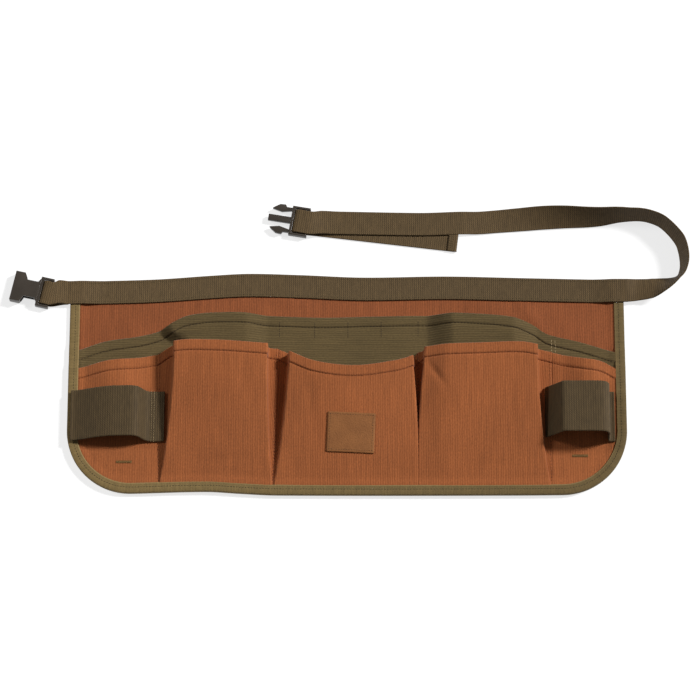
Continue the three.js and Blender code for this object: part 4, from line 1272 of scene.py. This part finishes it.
def pouch_face(pouch, x, y):
    """Height of a pouch's outer face."""
    v = (y - bottom_at(x)) / (pouch_mouth(pouch, x) - bottom_at(x))
    out = PLEAT_FOLD["out"][-1]
    start = seam_at(pouch["seam"], y) + GAP / 2 + out * pleat_width(pouch, "left", v)
    stop = seam_at(pouch["seam"] + 1, y) - GAP / 2 - out * pleat_width(pouch, "right", v)
    s = (x - start) / (stop - start)
    return layer(FRONT_LAYER, x, y) + pouch_height(pouch, v) * crown(pouch, s) + CANVAS


def label_point(s, t, lift):
    """s and t run from -0.5 to 0.5 across and up the patch."""
    angle = LABEL_ANGLE * TURN
    right, up = s * LABEL_WIDTH, t * LABEL_HEIGHT
    x = LABEL_PLACE[0] * HALF_WIDTH + right * math.cos(angle) - up * math.sin(angle)
    y = LABEL_PLACE[1] * HALF_HEIGHT + right * math.sin(angle) + up * math.cos(angle)
    return np.stack([x, y, pouch_face(POUCHES["centre_pouch"], x, y) + lift], -1)


share = np.linspace(-0.5, 0.5, LABEL_STEPS)
grid_s, grid_t = np.meshgrid(share, share)
label, _ = cloth(
    "label_patch_leather", label_point(grid_s, grid_t, GAP), LABEL_THICK,
    np.stack([grid_s * LABEL_WIDTH, grid_t * LABEL_HEIGHT], -1), leather)
finish_piece(label, "label_leather", "label_patch")

# %% [markdown]
# A row of stitches is the same short thread again and again along a seam, which is a job for
# Geometry Nodes. Each seam is a chain of edges that carries the cloth's normal at its points. The
# tree walks along the chain at the stitch pitch, lays one thread down at each step, turned along
# the seam and facing out of the cloth, and gives it its finish.

# %% Stitch tree
STITCH_SEED = 4
STITCH_BALL = {"Segments": 8, "Rings": 5, "Radius": 0.5}


def stitch_tree():
    tree = bpy.data.node_groups.new("row of stitches", "GeometryNodeTree")
    face = tree.interface
    face.new_socket("Seam", in_out="INPUT", socket_type="NodeSocketGeometry")
    for socket_name in ("Pitch", "Length", "Thickness", "Turn", "Waver"):
        face.new_socket(socket_name, in_out="INPUT", socket_type="NodeSocketFloat")
    face.new_socket("Thread", in_out="INPUT", socket_type="NodeSocketMaterial")
    face.new_socket("Stitches", in_out="OUTPUT", socket_type="NodeSocketGeometry")

    def put(kind, inputs=None, **settings):
        made = tree.nodes.new(kind)
        for key_name, value in settings.items():
            setattr(made, key_name, value)
        for key_name, value in (inputs or {}).items():
            if isinstance(value, bpy.types.NodeSocket):
                tree.links.new(value, made.inputs[key_name])
            else:
                made.inputs[key_name].default_value = value
        return made

    given = put("NodeGroupInput").outputs
    chain = put("GeometryNodeMeshToCurve", {"Mesh": given["Seam"]}).outputs["Curve"]
    steps = put("GeometryNodeResampleCurve", {"Curve": chain, "Length": given["Pitch"]}, mode="LENGTH")
    ball = put("GeometryNodeMeshUVSphere", STITCH_BALL)
    thick = given["Thickness"]
    size = put("ShaderNodeCombineXYZ", {"X": given["Length"], "Y": thick, "Z": thick})
    one = put("GeometryNodeTransform", {"Geometry": ball.outputs["Mesh"], "Scale": size.outputs[0]})
    tangent = put("GeometryNodeInputTangent").outputs[0]
    outward = put("GeometryNodeInputNamedAttribute", {"Name": "outward"}, data_type="FLOAT_VECTOR")
    along = put("FunctionNodeAlignRotationToVector", {"Vector": tangent}, axis="X")
    out_of_cloth = {"Rotation": along.outputs[0], "Vector": outward.outputs["Attribute"]}
    facing_out = put("FunctionNodeAlignRotationToVector", out_of_cloth, axis="Z", pivot_axis="X")
    either_way = {"Min": -1.0, "Max": 1.0, "Seed": STITCH_SEED}
    waver = put("FunctionNodeRandomValue", either_way, data_type="FLOAT")
    some = next(socket for socket in waver.outputs if socket.enabled)
    angle_sum = {0: some, 1: given["Waver"], 2: given["Turn"]}
    angle = put("ShaderNodeMath", angle_sum, operation="MULTIPLY_ADD")
    spin = put("FunctionNodeAxisAngleToRotation", {"Axis": (0, 0, 1), "Angle": angle.outputs[0]})
    both_turns = {"Rotation": facing_out.outputs[0], "Rotate By": spin.outputs[0]}
    turned = put("FunctionNodeRotateRotation", both_turns, rotation_space="LOCAL")
    row = {"Points": steps.outputs[0], "Instance": one.outputs[0], "Rotation": turned.outputs[0]}
    laid = put("GeometryNodeInstanceOnPoints", row)
    real = put("GeometryNodeRealizeInstances", {"Geometry": laid.outputs[0]})
    smoothed = put("GeometryNodeSetShadeSmooth", {"Geometry": real.outputs[0]}).outputs[0]
    dyed = put("GeometryNodeSetMaterial", {"Geometry": smoothed, "Material": given["Thread"]})
    out = put("NodeGroupOutput")
    tree.links.new(dyed.outputs[0], out.inputs["Stitches"])
    return tree


STITCHES = stitch_tree()
SOCKETS = {
    item.name: item.identifier for item in STITCHES.interface.items_tree if item.in_out == "INPUT"
}
print("stitch tree inputs:", ", ".join(SOCKETS))

# %% [markdown]
# Each group of seams with one thread becomes one piece. The chains go in, the tree runs, and the
# result is kept as a plain mesh.

# %% Sewing
STITCH_LENGTH = 2.7
STITCH_PITCH = 3.4
THREAD = 0.75
THREAD_SINK = 0.1


def upward(line):
    """A row with normals that face straight up."""
    return line, np.tile([0.0, 0.0, 1.0], (len(line), 1))


def sew(name, seams, material, slot, pitch=STITCH_PITCH, length=STITCH_LENGTH, thickness=THREAD,
        turn=0.0, waver=4.0):
    points, normals, edges = [], [], []
    for line, ups in seams:
        first = len(points)
        points += list(line - ups * THREAD_SINK)
        normals += list(ups)
        edges += [(first + k, first + k + 1) for k in range(len(line) - 1)]
    mesh = bpy.data.meshes.new(name)
    mesh.from_pydata((np.array(points) * MM).tolist(), edges, [])
    outward = mesh.attributes.new("outward", "FLOAT_VECTOR", "POINT")
    outward.data.foreach_set("vector", np.array(normals, np.float32).ravel())
    made = bpy.data.objects.new(name, mesh)
    scene.collection.objects.link(made)
    modifier = made.modifiers.new("stitches", "NODES")
    modifier.node_group = STITCHES
    values = dict(Pitch=pitch * MM, Length=length * MM, Thickness=thickness * MM,
                  Turn=turn * TURN, Waver=waver * TURN, Thread=material)
    for socket_name, value in values.items():
        modifier[SOCKETS[socket_name]] = value
    plain_mesh(made)
    finish_piece(made, slot)
    print(name, len(made.data.polygons), "faces")
    return made


fronts = (*pouch_outers.values(), *side_outers.values())
hem_seams = [line_below(outer, HEM_WIDTH) for outer in fronts]
sew("front_hem_stitches", hem_seams, orange_thread, "duck_canvas")
sew("inner_hem_stitches", [line_below(inner_outer, INNER_HEM)], dark_thread, "lining_canvas")

# %% [markdown]
# The olive layer is divided into slots by rows of stitches that run down from its hem. Only their
# upper ends show over the centre pouch. The double row at the right ends the wide pocket.

# %% Slot stitches
SLOTS_AT = (-0.245, -0.119, 0.0, 0.126, 0.256)
DOUBLE_AT = (0.737, 0.752)
SLOT_START = 4.5
SLOT_ROW = 15
DOUBLE_ROW = 60


def slot_line(x_share, length):
    column = int(np.argmin(np.abs(inner_outer[0, :, 0] - x_share * HALF_WIDTH)))
    line, ups = column_line(inner_outer, column, SLOT_START)
    keep = run_from_top(line[:, None])[:, 0] <= length
    return line[keep], ups[keep]


sew("slot_stitches", [slot_line(x, SLOT_ROW) for x in SLOTS_AT], dark_thread, "lining_canvas",
    pitch=2.2, length=2.1)
sew("double_stitches", [slot_line(x, DOUBLE_ROW) for x in DOUBLE_AT], pale_thread, "lining_canvas")

# %% [markdown]
# The pouches are sewn down along the seams between them, and the tape and the belt are sewn
# through all layers along their edges. The seam between two pouches lies in the dark of the
# pleats, so one row a little beside the edge is enough there.

# %% Seams, tape and belt stitches
TAPE_STITCH = 4.6
BELT_STITCH = 2.6
BELT_SINK = 0.1
BELT_ROW_END = 2
BELT_ROW_STEP = 6
LEVEL_ENOUGH = 0.9
LOOP_ROWS = (-203.7, -201.1)
POUCH_ROW_END = 12


def tape_seam():
    depth = TAPE_WIDTH - TAPE_STITCH
    points = []
    for x, y, in_x, in_y in binding_path():
        points.append((x + in_x * depth, y + in_y * depth, stack_top(x, y) + TAPE_BULGE))
    return upward(np.array(points))


def belt_seam(edge):
    """A row along one edge of the waistband, on its upper face."""
    share = edge * (1 - 2 * BELT_STITCH / BELT_WIDTH)
    column = np.interp(share, WEB_PROFILE["side"], np.arange(len(WEB_PROFILE["side"])))
    low = int(column)
    line = lerp(belt_face[:, low], belt_face[:, low + 1], column - low)
    line = line + belt_normal * (WEBBING / 2 - BELT_SINK)
    here = np.abs(line[:, 0]) < HALF_WIDTH - BELT_ROW_END
    here &= line[:, 1] < STRAP_EDGE + BELT_WIDTH / 2
    here &= belt_normal[:, 2] > LEVEL_ENOUGH
    return line[here][::BELT_ROW_STEP], belt_normal[here][::BELT_ROW_STEP]


pouch_sides = []
for outer in pouch_outers.values():
    for column in (1, outer.shape[1] - 2):
        pouch_sides.append(column_line(outer, column, skip_bottom=POUCH_ROW_END))
sew("pouch_seam_stitches", pouch_sides, orange_thread, "duck_canvas")
sew("tape_stitches", [tape_seam()], dark_thread, "binding_tape",
    pitch=3.0, length=2.4, thickness=0.6)
sew("belt_stitches", [belt_seam(-1), belt_seam(1)], olive_thread, "webbing")
loop_seams = []
for x in LOOP_ROWS:
    loop_seams.append(upward(left_loop_face[np.argmin(np.abs(left_loop_face[:, 0, 0] - x))]))
sew("loop_stitches", loop_seams, pale_thread, "webbing", pitch=1.9, length=1.1, thickness=0.6)

# %% [markdown]
# A bar tack is a short, tight zigzag that keeps a seam from tearing. It is the same tree again,
# with the threads turned across the row and laid side by side.

# %% Bar tacks, the tail's end and the label's border
TACK_LENGTH = 16
TACK_HEIGHT = 3.6
TACK_PITCH = 0.62
TACKS = dict(left_side_pocket=(-231.7, -83), right_side_pocket=(242.3, -76.5))
TACK_LIFT = 0.15
ROW_POINTS = 9
LABEL_STITCH = 2.2
BORDER_POINTS = 12
FLAP_ROWS = (2, 4)


def nearest_height(outer, x, y):
    flat = outer.reshape(-1, 3)
    return flat[np.argmin(np.hypot(flat[:, 0] - x, flat[:, 1] - y)), 2]


def tack(name):
    x, y = TACKS[name]
    along = np.linspace(-TACK_LENGTH / 2, TACK_LENGTH / 2, ROW_POINTS)
    height = [nearest_height(side_outers[name], x + a, y) + TACK_LIFT for a in along]
    return upward(np.stack([x + along, np.full(ROW_POINTS, float(y)), height], -1))


def label_border():
    inset_s, inset_t = 0.5 - LABEL_STITCH / LABEL_WIDTH, 0.5 - LABEL_STITCH / LABEL_HEIGHT
    side, ones = np.linspace(-1, 1, BORDER_POINTS), np.ones(BORDER_POINTS)
    sides = ((side, -ones), (ones, side), (-side, ones), (-ones, -side))
    return [upward(label_point(s * inset_s, t * inset_t, GAP + LABEL_THICK)) for s, t in sides]


def across_tail(distance):
    width = np.array(tail_side) * (BELT_WIDTH / 2 - 1)
    middle = tail_end - tail_along * distance + np.array([0, 0, FLAP_HEIGHT + FLAP_WEBBING / 2])
    return upward(np.array([middle + width * t for t in np.linspace(-1, 1, ROW_POINTS)]))


sew("bar_tacks", [tack(name) for name in TACKS], tack_thread, "binding_tape",
    pitch=TACK_PITCH, length=TACK_HEIGHT, thickness=0.7, turn=90.0)
sew("label_stitches", label_border(), dark_thread, "label_leather",
    pitch=2.6, length=1.9, thickness=0.5)
sew("belt_end_stitches", [across_tail(FLAP_LENGTH - row) for row in FLAP_ROWS], olive_thread, "webbing",
    pitch=2.6, length=2.1, thickness=0.6)
